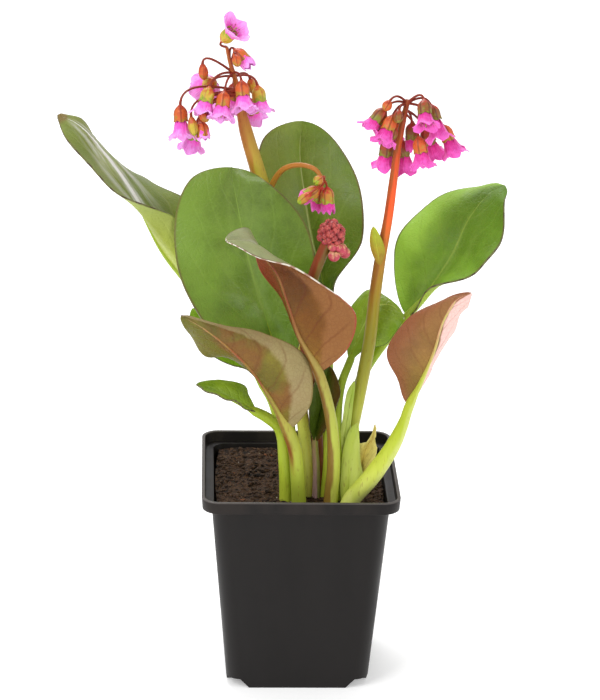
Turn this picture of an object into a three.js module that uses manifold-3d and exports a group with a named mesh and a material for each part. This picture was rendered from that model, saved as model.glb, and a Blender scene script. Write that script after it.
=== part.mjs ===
import * as THREE from "three";
import { mergeVertices } from "three/addons/utils/BufferGeometryUtils.js";
import Module from "manifold-3d";

const wasm = await Module();
wasm.setup();

// A bergenia in bud and flower, in a square nursery pot. Millimetres, +Z up, the front at -Y.
// The origin is the middle of the pot's underside.

// Driving dimensions of the pot.
const POT_HEIGHT = 120;
const RIM_WIDTH = 110;
const RIM_CORNER = 10;
const COLLAR_HEIGHT = 7;
const COLLAR_WALL = 1.6;
const BODY_TOP_WIDTH = 99;
const BODY_BOTTOM_WIDTH = 80;
const POT_WALL = 1.3;
const POT_FLOOR = 1.6;
const NOTCH_HEIGHT = 5.5;
const NOTCH_FLAT = 7.5;
const NOTCH_FOOT = 13.5;
const DRAIN_RADIUS = 1.9;
const DRAIN_INSET = 5;

// Driving dimensions of the soil and the plant.
const SOIL_LEVEL = 112;
const SOIL_RELIEF = 1.3;
const CLODS = 8;
const ROOTED = 11; // how deep the stalks stand in the soil
const CLEARANCE = 0.3; // between pieces that press on each other
const BLADE = 1.1; // thickness of a leaf blade
const PEDICEL_RADIUS = 0.75;
const CALYX_LENGTH = 8;
const CALYX_RADIUS = 3.9;
const MOUTH_RADIUS = { open: 8.2, bell: 6.6, half: 3.9 };
const PETAL = 0.9; // thickness of a petal
const BUD_RADIUS = 2.8;

const vector = (point) => new THREE.Vector3(...point);
const smoothCurve = (points, closed = false) =>
  new THREE.CatmullRomCurve3(points.map(vector), closed, "centripetal");

// A solid from a closed geometry, with its shared corners merged and its empty triangles left out.
function solid(geometry) {
  const bare = geometry.index ? geometry.toNonIndexed() : geometry.clone();
  bare.deleteAttribute("normal");
  bare.deleteAttribute("uv");
  const merged = mergeVertices(bare, 1e-4);
  const corners = merged.index.array;
  const triangles = [];
  for (let i = 0; i < corners.length; i += 3) {
    const [a, b, c] = corners.slice(i, i + 3);
    if (a !== b && b !== c && c !== a) triangles.push(a, b, c);
  }
  const vertProperties = new Float32Array(merged.attributes.position.array);
  const triVerts = new Uint32Array(triangles);
  return new wasm.Manifold(new wasm.Mesh({ numProp: 3, vertProperties, triVerts }));
}

// The solid's triangles as a geometry again.
function geometryOf(body) {
  const mesh = body.getMesh();
  const geometry = new THREE.BufferGeometry();
  geometry.setAttribute("position", new THREE.BufferAttribute(mesh.vertProperties, 3));
  geometry.setIndex(new THREE.BufferAttribute(mesh.triVerts, 1));
  return geometry;
}

const joined = (bodies) => bodies.reduce((whole, body) => whole.add(body));

// The largest of the separate lumps that a cut leaves.
const largest = (body) => body.decompose().sort((a, b) => b.volume() - a.volume())[0];

// Evenly spread random numbers from 0 to 1, the same in every run.
function seededDraw(seed) {
  let state = seed;
  return () => {
    state = (state * 16807) % 2147483647;
    return state / 2147483647;
  };
}

function roundedSquare(width, corner) {
  const middle = width / 2 - corner;
  const shape = new THREE.Shape();
  for (let side = 0; side < 4; side++) {
    const angle = (side * Math.PI) / 2;
    const x = middle * (side === 0 || side === 3 ? 1 : -1);
    const y = middle * (side < 2 ? 1 : -1);
    shape.absarc(x, y, corner, angle, angle + Math.PI / 2, false);
  }
  return shape;
}

// A block with rounded corners that widens evenly from its foot to its top.
function taperedBlock(footWidth, topWidth, topCorner, footZ, topZ) {
  const outline = roundedSquare(topWidth, topCorner);
  const height = topZ - footZ;
  const block = new THREE.ExtrudeGeometry(outline, { depth: height, bevelEnabled: false, curveSegments: 3 });
  const place = block.attributes.position;
  const narrowing = footWidth / topWidth;
  for (let i = 0; i < place.count; i++) {
    if (place.getZ(i) < height / 2) place.setXY(i, place.getX(i) * narrowing, place.getY(i) * narrowing);
  }
  return solid(block.translate(0, 0, footZ));
}

// The four raised corners of the pot's floor, each a block with two sloping sides, larger by margin.
function cornerBlocks(margin) {
  const reach = BODY_BOTTOM_WIDTH;
  const corners = [];
  for (const [sideX, sideY] of [[1, 1], [-1, 1], [-1, -1], [1, -1]]) {
    const block = new THREE.BoxGeometry(1, 1, 1);
    const place = block.attributes.position;
    for (let i = 0; i < place.count; i++) {
      const high = place.getZ(i) > 0;
      const inner = BODY_BOTTOM_WIDTH / 2 - (high ? NOTCH_FLAT : NOTCH_FOOT) - margin;
      const x = place.getX(i) * sideX > 0 ? reach : inner;
      const y = place.getY(i) * sideY > 0 ? reach : inner;
      place.setXYZ(i, x * sideX, y * sideY, high ? NOTCH_HEIGHT + margin : -1);
    }
    corners.push(solid(block));
  }
  return joined(corners);
}

// The space inside the pot, shrunk by inset all round, up to a height.
function potInside(inset, topZ) {
  const shrink = 2 * inset;
  const ledge = POT_HEIGHT - COLLAR_HEIGHT + POT_WALL;
  const footWidth = BODY_BOTTOM_WIDTH - 2 * POT_WALL - shrink;
  const topWidth = BODY_TOP_WIDTH - 2 * POT_WALL - shrink;
  const body = taperedBlock(footWidth, topWidth, RIM_CORNER - POT_WALL, POT_FLOOR + inset, ledge);
  const collarWidth = RIM_WIDTH - 2 * COLLAR_WALL - shrink;
  const collarCorner = RIM_CORNER - COLLAR_WALL;
  const collar = taperedBlock(collarWidth - 1, collarWidth, collarCorner, ledge - 0.01, POT_HEIGHT + 5);
  const space = topZ > ledge ? body.add(collar) : body;
  return space.subtract(cornerBlocks(POT_WALL + inset));
}

function pot() {
  const ledge = POT_HEIGHT - COLLAR_HEIGHT;
  const body = taperedBlock(BODY_BOTTOM_WIDTH, BODY_TOP_WIDTH, RIM_CORNER, 0, ledge + 0.5);
  const collar = taperedBlock(RIM_WIDTH - 1, RIM_WIDTH, RIM_CORNER, ledge, POT_HEIGHT);
  const hollow = body.add(collar).subtract(potInside(0, POT_HEIGHT)).subtract(cornerBlocks(0));
  const drainAt = BODY_BOTTOM_WIDTH / 2 - DRAIN_INSET;
  const drains = [[1, 1], [-1, 1], [-1, -1], [1, -1]].map(([x, y]) => {
    const hole = new THREE.CylinderGeometry(DRAIN_RADIUS, DRAIN_RADIUS, 4 * NOTCH_HEIGHT, 10);
    return solid(hole.rotateX(Math.PI / 2).translate(x * drainAt, y * drainAt, 0));
  });
  return hollow.subtract(joined(drains));
}

// The height of the loose soil's surface.
function soilHeight(x, y) {
  const broad = Math.sin(x / 13 + 0.6) * Math.cos(y / 11 - 0.4);
  const fine = Math.sin(x / 4.1 + y / 6.3) * Math.cos(y / 3.7 - x / 8.9);
  return SOIL_LEVEL + SOIL_RELIEF * (0.7 * broad + 0.5 * fine);
}

// The soil fills the pot, with clods on its surface. Its holes for the stalks are cut afterwards.
function soil() {
  const cells = 8;
  const top = new THREE.BoxGeometry(RIM_WIDTH, RIM_WIDTH, 1, cells, cells, 1);
  const place = top.attributes.position;
  for (let i = 0; i < place.count; i++) {
    const surface = soilHeight(place.getX(i), place.getY(i));
    place.setZ(i, place.getZ(i) > 0 ? surface : -1);
  }
  const draw = seededDraw(41);
  const clods = [];
  for (let i = 0; i < CLODS; i++) {
    const x = (draw() - 0.5) * (BODY_TOP_WIDTH - 12);
    const y = (draw() - 0.5) * (BODY_TOP_WIDTH - 12);
    const lump = new THREE.IcosahedronGeometry(1.4 + 2.2 * draw(), 0);
    lump.rotateX(draw() * Math.PI).scale(1, 1, 0.7);
    clods.push(solid(lump.translate(x, y, soilHeight(x, y))));
  }
  const filling = potInside(CLEARANCE, SOIL_LEVEL).intersect(solid(top));
  return filling.add(joined(clods).intersect(potInside(CLEARANCE, SOIL_LEVEL)));
}

// A value read from [fraction, value] pairs, straight between them.
function along(pairs, fraction) {
  for (let i = 1; i < pairs.length; i++) {
    const [end, value] = pairs[i];
    const [start, before] = pairs[i - 1];
    if (fraction <= end) return before + ((value - before) * (fraction - start)) / (end - start);
  }
  return pairs[pairs.length - 1][1];
}

// A round stalk bent along a curve, its radius read along its length.
function stalk(curve, radii, sides, steps, grow = 0) {
  const frames = curve.computeFrenetFrames(steps);
  const tube = new THREE.CylinderGeometry(1, 1, 1, sides, steps);
  const place = tube.attributes.position;
  for (let i = 0; i < place.count; i++) {
    const fraction = place.getY(i) + 0.5;
    const row = Math.round(fraction * steps);
    const radius = along(radii, fraction) + grow;
    const point = curve.getPointAt(row / steps);
    point.addScaledVector(frames.normals[row], place.getX(i) * radius);
    point.addScaledVector(frames.binormals[row], -place.getZ(i) * radius);
    if (row === 0) point.addScaledVector(frames.tangents[row], -grow);
    place.setXYZ(i, point.x, point.y, point.z);
  }
  return solid(tube);
}

// The points of a stalk with one more below, where it stands in the soil.
function rooted(points) {
  const foot = vector(points[0]);
  const away = foot.clone().sub(vector(points[1])).normalize();
  away.z -= 1; // steeper below ground
  foot.addScaledVector(away, (foot.z - (SOIL_LEVEL - ROOTED)) / -away.z);
  return [foot.toArray(), ...points];
}

// The middle surface of a leaf blade: u runs from the left edge, -1, over the rib to the right
// edge, 1, as seen on its upper side, and v from the stalk, 0, to the tip, 1. Each half has a camber
// at its stalk end and at its tip, positive where it arches up and negative where it is a trough.
function bladeSkin({ rib, left, right, camberLeft, camberRight, wave = 1.2, waves = 4 }) {
  const stations = rib.length - 1;
  const ribCurve = smoothCurve(rib);
  const outline = smoothCurve([rib[0], ...left, rib[stations], ...right.toReversed()], true);
  return (u, v, grow = 0) => {
    const eased = 0.6 * (0.5 - 0.5 * Math.cos(Math.PI * v)) + 0.4 * v;
    const middle = ribCurve.getPoint(eased);
    const edge = outline.getPoint(u < 0 ? eased / 2 : 1 - eased / 2);
    const across = edge.sub(middle);
    const width = across.length();
    const ahead = ribCurve.getTangent(eased);
    const upward = ahead.cross(across).multiplyScalar(u < 0 ? 1 : -1);
    if (upward.lengthSq() > 0) upward.normalize();
    const share = Math.abs(u);
    const ripple = wave * Math.sin(2 * Math.PI * waves * v + 2 * u) * share ** 3 * Math.sin(Math.PI * v);
    const camber = along([0, 1].map((end) => [end, (u < 0 ? camberLeft : camberRight)[end]]), eased);
    const arch = 4 * camber * width * share * (1 - share);
    const reach = width > 0 ? share * (1 + grow / width) : share;
    return middle.addScaledVector(across, reach).addScaledVector(upward, arch + ripple);
  };
}

// The triangles of both faces of a thin sheet and of the rim between them.
function sheetTriangles(face, count) {
  const triangles = [];
  const open = new Map();
  for (let i = 0; i < face.length; i += 3) {
    const [a, b, c] = face.slice(i, i + 3);
    triangles.push(a, b, c, a + count, c + count, b + count);
    for (const [p, q] of [[a, b], [b, c], [c, a]]) {
      if (!open.delete(`${q} ${p}`)) open.set(`${p} ${q}`, [p, q]);
    }
  }
  for (const [p, q] of open.values()) triangles.push(q, p, p + count, q, p + count, q + count);
  return triangles;
}

// A leaf blade as a thin solid, both faces split into triangles alike.
function blade(leaf, grow = 0) {
  const [across, lengthwise] = leaf.grid;
  const skin = bladeSkin(leaf);
  const sheet = new THREE.PlaneGeometry(2, 1, across, lengthwise);
  const place = sheet.attributes.position;
  for (let i = 0; i < place.count; i++) {
    const point = skin(place.getX(i), place.getY(i) + 0.5, grow);
    place.setXYZ(i, point.x, point.y, point.z);
  }
  sheet.computeVertexNormals();
  const normals = sheet.attributes.normal;
  for (const row of [0, lengthwise]) {
    const mean = new THREE.Vector3();
    const first = row * (across + 1);
    for (let i = first; i <= first + across; i++) mean.add(new THREE.Vector3().fromBufferAttribute(normals, i));
    mean.normalize();
    for (let i = first; i <= first + across; i++) normals.setXYZ(i, mean.x, mean.y, mean.z);
  }
  const half = (leaf.thickness ?? BLADE) / 2 + grow;
  const corners = [];
  for (const side of [half, -half]) {
    for (let i = 0; i < place.count; i++) {
      const point = new THREE.Vector3().fromBufferAttribute(place, i);
      point.addScaledVector(new THREE.Vector3().fromBufferAttribute(normals, i), side);
      corners.push(point.x, point.y, point.z);
    }
  }
  const shell = new THREE.BufferGeometry();
  shell.setAttribute("position", new THREE.Float32BufferAttribute(corners, 3));
  shell.setIndex(sheetTriangles([...sheet.index.array], place.count));
  return solid(shell);
}

// A leaf with its stalk, which runs on under the blade as the rib and thins towards the tip. Some have
// a thin sheath at the foot of their stalk, or a young shoot beside it.
function leaf(shape, grow = 0) {
  if (!shape.stalk) return blade(shape, grow);
  const skin = bladeSkin(shape);
  const last = shape.rib.length - 1;
  const sunk = shape.radii[shape.radii.length - 2][1] * 0.5;
  const ribPoints = shape.rib.slice(0, last - 2).map((point, i) => {
    const v = (i + 0.3) / last;
    const across = skin(0.2, v).sub(skin(-0.2, v));
    const ahead = skin(0, v + 0.05).sub(skin(0, v));
    const under = ahead.cross(across).normalize();
    return vector(point).addScaledVector(under, sunk * (1 - i / last)).toArray();
  });
  const curve = smoothCurve([...rooted(shape.stalk), ...ribPoints]);
  const steps = Math.round(curve.getLength() / 15);
  const parts = [blade(shape, grow), stalk(curve, shape.radii, shape.grid[0] < 8 ? 6 : 7, steps, grow)];
  if (shape.sheath) parts.push(blade(shape.sheath, grow));
  if (shape.shoot) parts.push(stalk(smoothCurve(rooted(shape.shoot.points)), shape.shoot.radii, 6, 3, grow));
  return joined(parts);
}

// The leaves. Each has the middle line of its stalk, its rib from stalk to tip, and its two edges.
const LEAVES = {
  leaf_front_centre: {
    stalk: [[17, -32, 114], [18, -34, 134], [16, -38, 161]],
    rib: [[8, -42, 193], [-3, -46, 214], [-10, -50, 235], [-16, -55, 253], [-28, -68, 271], [-43, -86, 280]],
    left: [[23, -41, 205], [28, -40, 224], [4, -44, 246], [-25, -82, 270]],
    right: [[1, -38, 203], [-8, -35, 222], [-22, -35, 246], [-32, -56, 277]],
    radii: [[0, 4.2], [0.3, 3.3], [0.6, 2.8], [1, 0.8]],
    grid: [8, 11], camberLeft: [-0.1, 0.3], camberRight: [-0.1, 0.1], colour: 0x7d5a3a,
  },
  leaf_front_right: {
    stalk: [[28, -36, 114], [38, -38, 128], [49, -41, 147], [55, -44, 163]],
    rib: [[58, -46, 175], [64, -48, 190], [70, -50, 208], [74, -52, 225], [80, -53, 237], [88, -54, 242]],
    left: [[67, -40, 189], [76, -33, 204], [83, -36, 219], [87, -46, 232]],
    right: [[51, -38, 188], [46, -34, 203], [55, -34, 218], [72, -42, 233]],
    radii: [[0, 5], [0.25, 5], [0.4, 4], [0.5, 2.8], [0.7, 2.4], [1, 0.8]],
    grid: [8, 8], camberLeft: [-0.1, -0.05], camberRight: [-0.1, -0.05], colour: 0x93604f,
    sheath: {
      rib: [[27, -31, 106], [27, -30.5, 120], [27, -30, 132], [28, -29, 142], [30, -27, 150], [31, -26, 156]],
      left: [[22.6, -31, 114], [22.6, -30, 128], [23.5, -29, 142], [27, -27, 153]],
      right: [[32, -32, 113], [35, -31, 122], [33, -29, 134], [32, -27, 148]],
      grid: [2, 5], camberLeft: [0.1, 0.1], camberRight: [0.1, 0.1], wave: 0.3,
    },
  },
  leaf_front_left: {
    stalk: [[-1, -33, 113], [-2.5, -36, 134], [-4, -38, 146]],
    rib: [[-8, -41, 159], [-23, -51, 189], [-33, -59, 204], [-45, -67, 218], [-55, -76, 229], [-66, -86, 239]],
    left: [[4, -46, 176], [1, -43, 201], [-22, -48, 216], [-44, -64, 226]],
    right: [[-18, -38, 180], [-34, -39, 197], [-52, -52, 205], [-61, -68, 221]],
    radii: [[0, 4.2], [0.35, 3.9], [0.6, 2.4], [1, 0.8]],
    grid: [8, 9], camberLeft: [-0.12, -0.05], camberRight: [-0.08, -0.05], colour: 0x7f6242,
  },
  leaf_low_left: {
    stalk: [[-8, -29, 112], [-9, -30, 134], [-12, -31, 154], [-19, -34, 162]],
    rib: [[-25, -37, 167], [-32, -41, 172], [-39, -45, 177], [-45, -49, 182], [-52, -53, 186], [-58, -57, 190]],
    left: [[-31, -46, 172], [-38, -56, 180], [-45, -60, 184], [-52, -60, 187]],
    right: [[-29, -36, 174], [-31, -35, 180], [-38, -39, 185], [-48, -45, 188]],
    radii: [[0, 3.8], [0.3, 3.6], [0.6, 3], [0.8, 1.8], [1, 0.8]],
    grid: [6, 7], camberLeft: [0.05, 0.05], camberRight: [0.05, 0.05], wave: 0.6, colour: 0x5f9a34,
  },
  leaf_inner_right: {
    stalk: [[22, -26, 113], [21, -25, 135], [20, -22, 159], [22, -18, 176]],
    rib: [[27, -12, 189], [31, -9, 200], [36, -7, 210], [42, -6, 218], [49, -8, 219], [56, -12, 214]],
    left: [[26, -3, 198], [28, 7, 212], [36, 8, 222], [45, 2, 222]],
    right: [[36, -12, 195], [47, -12, 198], [51, -12, 204], [55, -12, 210]],
    radii: [[0, 3.4], [0.4, 2.6], [0.8, 2], [1, 1]],
    grid: [6, 8], camberLeft: [0.08, 0.08], camberRight: [0.08, 0.08], wave: 0.6, colour: 0x6fa63f,
    sheath: {
      rib: [[23, -25, 108], [23.5, -25, 130], [24, -25, 145], [25, -24.5, 158], [27, -24, 170], [28.6, -24, 180]],
      left: [[20.5, -26, 118], [21, -25.5, 136], [22.5, -25, 155], [25, -24.5, 174]],
      right: [[26, -25.5, 118], [26.5, -25, 136], [27.1, -24.5, 154], [28.8, -24, 172]],
      grid: [2, 6], camberLeft: [0.1, 0.1], camberRight: [0.1, 0.1], wave: 0.3,
    },
  },
  leaf_inner_small: {
    stalk: [[9, -24, 110], [9, -23, 127]],
    rib: [[8, -21, 143], [9, -20, 153], [11, -19, 162], [12, -18, 171], [14, -17, 179], [15, -16, 186]],
    left: [[5, -24, 151], [4, -25, 163], [6, -23, 176], [10, -19, 184]],
    right: [[14, -26, 153], [19, -26, 165], [21, -25, 173], [19, -21, 182]],
    radii: [[0, 2.4], [0.4, 1.9], [0.6, 1.5], [1, 0.6]],
    grid: [4, 6], camberLeft: [0.05, 0.05], camberRight: [0.05, 0.05], wave: 0.4, colour: 0x45702c,
    shoot: { points: [[13.5, -23.5, 112], [14.5, -23, 132], [14, -24, 157]], radii: [[0, 2.2], [0.7, 1.7], [1, 0.8]] },
  },
  leaf_big: {
    stalk: [[-2, -9, 108], [-5, -9, 139], [-8, -10, 161]],
    rib: [[-11, -11, 177], [-16, -10, 198], [-24, -6, 222], [-31, -1, 248], [-37, 6, 276], [-40, 11, 292]],
    left: [[-44, -33, 204], [-67, -12, 234], [-70, 4, 268], [-61, 8, 287]],
    right: [[-1, -18, 201], [7, -11, 232], [2, -5, 262], [-19, 1, 286]],
    radii: [[0, 3.6], [0.3, 3.2], [0.6, 2.6], [1, 0.8]],
    grid: [8, 10], camberLeft: [0.05, 0.06], camberRight: [0.05, 0.06], colour: 0x4f7f2f,
  },
  leaf_low_back: {
    stalk: [[-6, -17, 114], [-9, -15, 136], [-13, -12, 152], [-17, -8, 163]],
    rib: [[-22, -4, 170], [-30, 2, 181], [-39, 7, 189], [-48, 11, 196], [-55, 14, 203], [-61, 16, 208]],
    left: [[-28, -5, 179], [-39, -5, 182], [-54, -2, 191], [-62, 9, 200]],
    right: [[-22, -6, 191], [-30, -4, 202], [-40, 4, 207], [-53, 13, 210]],
    radii: [[0, 2.6], [0.4, 2.2], [0.7, 1.7], [1, 0.6]],
    grid: [6, 7], camberLeft: [0.05, 0.05], camberRight: [0.05, 0.05], wave: 0.6, colour: 0x5f9a34,
  },
  leaf_right: {
    stalk: [[28, -8, 112], [29, -7, 145], [33, -5, 173], [45, -3, 194]],
    rib: [[59, -1, 211], [73, 3, 228], [84, 8, 245], [92, 13, 262], [103, 18, 275], [112, 21, 280]],
    left: [[52, 22, 233], [56, 26, 251], [73, 35, 266], [96, 32, 276]],
    right: [[71, -10, 230], [95, -17, 242], [107, -11, 256], [111, 3, 275]],
    radii: [[0, 3.6], [0.3, 3], [0.7, 2.5], [1, 0.8]],
    grid: [8, 10], camberLeft: [0.05, 0.06], camberRight: [-0.25, 0.12], colour: 0x518a33,
  },
  leaf_back: {
    stalk: [[14, -6, 111], [14, 2, 141], [16, 14, 179]],
    rib: [[16, 22, 201], [12, 28, 225], [6, 34, 246], [2, 42, 267], [-1, 50, 290], [0, 55, 307]],
    left: [[-7, 22, 219], [-21, 25, 241], [-27, 31, 269], [-21, 42, 301]],
    right: [[20, 18, 225], [34, 19, 249], [32, 30, 276], [16, 51, 300]],
    radii: [[0, 3.6], [0.3, 3.2], [0.7, 2.5], [1, 0.8]],
    grid: [8, 10], camberLeft: [0.05, 0.06], camberRight: [0.05, 0.06], colour: 0x507f2f,
  },
  leaf_far_left: {
    stalk: [[-4, 2, 112], [-8, 8, 140], [-16, 14, 165], [-34, 18, 191]],
    rib: [[-57, 18, 216], [-77, 14, 242], [-94, 9, 277], [-110, 6, 302], [-123, 4, 317], [-134, 2, 323]],
    left: [[-65, 11, 259], [-86, -6, 274], [-108, -14, 290], [-129, -5, 312]],
    right: [[-57, 33, 260], [-85, 40, 275], [-105, 28, 288], [-123, 9, 319]],
    radii: [[0, 3.6], [0.3, 3.2], [0.7, 2.5], [1, 0.8]],
    grid: [8, 11], camberLeft: [-0.5, 0.1], camberRight: [0.05, 0.1], colour: 0x5d8038,
  },
};

// The flower stalks, from the soil to their heads.
const LEFT_STALK = [
  [4, -20, 112], [3, -17, 136], [0, -6, 162], [-5, 10, 198], [-14.5, 18, 242], [-24, 18, 284],
  [-30.5, 16, 306], [-34.5, 14, 322], [-37, 12, 337], [-41, 10, 351], [-43, 9, 360],
];
const LEFT_RADII = [[0, 3.6], [0.4, 3.3], [0.7, 4.4], [0.82, 3.7], [0.89, 1.7], [1, 0.9]];
const NODDING_BRANCH = [[-20, 18, 268], [-17, 14, 282], [-11, 9, 292], [-2, 3, 296], [6, -3, 295], [10, -7, 290]];
const RIGHT_STALK = [
  [25, -19, 114], [27.5, -18, 143], [31.5, -17, 166], [37, -18, 202], [39, -18, 226], [41.5, -18, 249],
  [45, -18, 271], [47.5, -17, 294], [49.5, -16, 312], [52, -16, 328], [54, -16, 338],
];
const RIGHT_RADII = [[0, 3.8], [0.2, 3.7], [0.45, 3.5], [0.62, 3.1], [0.7, 2.6], [0.85, 2.2], [1, 1.4]];
const BUD_STALK = [
  [10, -12, 111], [10, -9, 134], [8, -12, 160], [2, -24, 196], [1, -27, 222], [4, -29, 240], [9, -30, 255],
];

// The flowers of each head: how far each is open, where its calyx begins, where its mouth is, and the
// height at which its pedicel leaves the stalk.
const LEFT_FLOWERS = [
  ["open", [-46, 8, 363], [-37, 3, 373], 359],
  ["half", [-39, 9, 359], [-30, 3, 350], 352],
  ["bud", [-38, 3, 357], [-37, -2, 352], 350],
  ["bud", [-56, 11, 350], [-55, 11, 341], 346],
  ["open", [-50, 12, 341], [-55, 22, 333], 344],
  ["bell", [-52, 1, 340], [-56, -5, 325], 346],
  ["bell", [-44, 0, 338], [-46, -7, 323], 345],
  ["bell", [-39, 17, 338], [-38, 22, 322], 342],
  ["bell", [-35, 4, 343], [-33, -3, 327], 346],
  ["bell", [-26, 13, 338], [-24, 10, 323], 343],
  ["bud", [-30, 19, 340], [-28, 22, 331], 343],
  ["bell", [-44, 22, 331], [-45, 30, 318], 336],
  ["bell", [-30, 21, 328], [-27, 29, 315], 335],
  ["bell", [-68, 8, 328], [-67, 5, 309], 334],
  ["bud", [-62, 1, 323], [-60, -1, 313], 333],
  ["bell", [-59, 14, 316], [-62, 16, 300], 332],
  ["bud", [-57, -2, 327], [-53, -5, 322], 334],
  ["half", [-57, 5, 320], [-55, 1, 310], 333],
];
const RIGHT_FLOWERS = [
  ["bell", [42, -18, 334], [33, -21, 322], 337],
  ["bell", [46, -21, 331], [40, -27, 316], 336],
  ["bell", [44, -12, 315], [43, -10, 298], 326],
  ["bell", [52, -5, 313], [55, -2, 294], 328],
  ["bell", [60, -20, 319], [63, -24, 302], 330],
  ["bell", [62, -22, 340], [63, -32, 326], 337],
  ["bell", [66, -17, 336], [72, -23, 317], 337],
  ["bell", [73, -14, 324], [81, -16, 307], 336],
  ["bell", [64, -8, 320], [71, -3, 303], 333],
  ["half", [57, -10, 324], [58, -9, 308], 332],
  ["bud", [44, -22, 339], [41, -24, 334], 337],
  ["bud", [49, -23, 334], [48, -27, 328], 335],
  ["bud", [47, -23, 325], [45, -25, 318], 330],
  ["bell", [52, -4, 327], [47, 5, 309], 332],
];
const NODDING_FLOWERS = [
  ["half", [8, -10, 287], [-2, -13, 281], 290],
  ["half", [12, -8, 287], [13, -9, 272], 290],
  ["half", [9, -3, 286], [7, 0, 271], 290],
  ["bud", [9, -11, 293], [5, -15, 291], 290],
  ["bud", [3, -17, 286], [-4, -20, 281], 290],
];

// A turned body of ten sides along a flower's axis. Each ring is [distance, radius, lobe], and the lobe
// moves every second corner forward and the others back.
function flowerBody(rings, base, axis, sides = 10) {
  const profile = rings.map(([distance, radius]) => new THREE.Vector2(radius, distance));
  const body = new THREE.LatheGeometry(profile, sides);
  const place = body.attributes.position;
  for (let i = 0; i < place.count; i++) {
    const lobe = rings[i % rings.length][2] ?? 0;
    const corner = Math.floor(i / rings.length);
    place.setY(i, place.getY(i) + (corner % 2 ? lobe : -lobe));
  }
  const turn = new THREE.Quaternion().setFromUnitVectors(new THREE.Vector3(0, 1, 0), axis);
  return solid(body.applyQuaternion(turn).translate(base.x, base.y, base.z));
}

// A calyx is a cup, closed here where the corolla stands in it, and a bud is a closed egg.
function calyx([kind, from, to], grow = 0) {
  const base = vector(from);
  const axis = vector(to).sub(base);
  const length = axis.length();
  axis.normalize();
  if (kind === "bud") {
    const rings = [[-grow, 0], [0.15, 0.7], [0.5, 1], [0.8, 0.75], [1, 0]];
    const egg = rings.map(([share, wide]) => [share * length, wide ? wide * BUD_RADIUS + grow : 0]);
    egg[egg.length - 1][0] += grow;
    return flowerBody(egg, base, axis, 6);
  }
  const rings = [[-grow, 0], [0.3 * CALYX_LENGTH, 0.8], [CALYX_LENGTH + grow, 1], [CALYX_LENGTH + grow, 0]];
  const cup = rings.map(([distance, wide]) => [distance, wide ? wide * CALYX_RADIUS + grow : 0]);
  return flowerBody(cup, base, axis, 8);
}

// A corolla begins in its calyx and opens to five lobes. A half open one stays narrow.
function corolla([kind, from, to], grow = 0) {
  const base = vector(from);
  const axis = vector(to).sub(base);
  const length = axis.length();
  axis.normalize();
  const mouth = MOUTH_RADIUS[kind];
  const neck = 0.85 * CALYX_RADIUS;
  const start = CALYX_LENGTH + CLEARANCE - grow;
  const waist = CALYX_LENGTH + 0.45 * (length - CALYX_LENGTH);
  const lobe = 0.2 * mouth;
  const cup = [
    [start, 0],
    [start, neck + grow],
    [waist, 0.45 * neck + 0.5 * mouth + grow],
    [length + grow, mouth + grow, lobe],
    [length + grow, mouth - PETAL, lobe],
    [CALYX_LENGTH + 1.5, 0],
  ];
  return flowerBody(cup, base, axis);
}

// A thin pedicel from the stalk at a height, arched so that it meets the calyx along its axis.
function pedicel([, from, to, height], stem, grow = 0) {
  const base = vector(from);
  const axis = vector(to).sub(base).normalize();
  const samples = stem.getSpacedPoints(200);
  const foot = samples.reduce((a, b) => (Math.abs(b.z - height) < Math.abs(a.z - height) ? b : a));
  const bend = base.clone().addScaledVector(axis, -(2 + 0.4 * foot.distanceTo(base)));
  const curve = new THREE.QuadraticBezierCurve3(foot, bend, base.clone().addScaledVector(axis, 1));
  return stalk(curve, [[0, PEDICEL_RADIUS], [1, PEDICEL_RADIUS]], 4, 3, grow);
}

// A flower stalk with the pedicels, calyces and closed buds of its head, all one growth.
function scape(points, radii, flowers, grow = 0) {
  const stem = smoothCurve(points);
  const steps = Math.round(stem.getLength() / 20);
  const growth = flowers.flatMap((flower) => [pedicel(flower, stem, grow), calyx(flower, grow)]);
  return joined([stalk(stem, radii, 7, steps, grow), ...growth]);
}

function leftScape(grow = 0) {
  const main = scape(rooted(LEFT_STALK), LEFT_RADII, LEFT_FLOWERS, grow);
  return main.add(scape(NODDING_BRANCH, [[0, 1.7], [1, 1.1]], NODDING_FLOWERS, grow));
}

// The right stalk carries a small bract leaf half way up, at its joint.
const BRACT = {
  rib: [[41, -21, 247], [40, -22.5, 254], [38.5, -23, 261], [37, -23, 269]],
  left: [[37, -21, 254], [35.5, -22, 262]],
  right: [[43.5, -22, 254], [42, -23, 261]],
  grid: [4, 4], camberLeft: [0.1, 0.1], camberRight: [0.1, 0.1], wave: 0, thickness: 1.4,
};
const rightScape = (grow = 0) =>
  scape(rooted(RIGHT_STALK), RIGHT_RADII, RIGHT_FLOWERS, grow)
    .add(blade(BRACT, grow));

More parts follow.
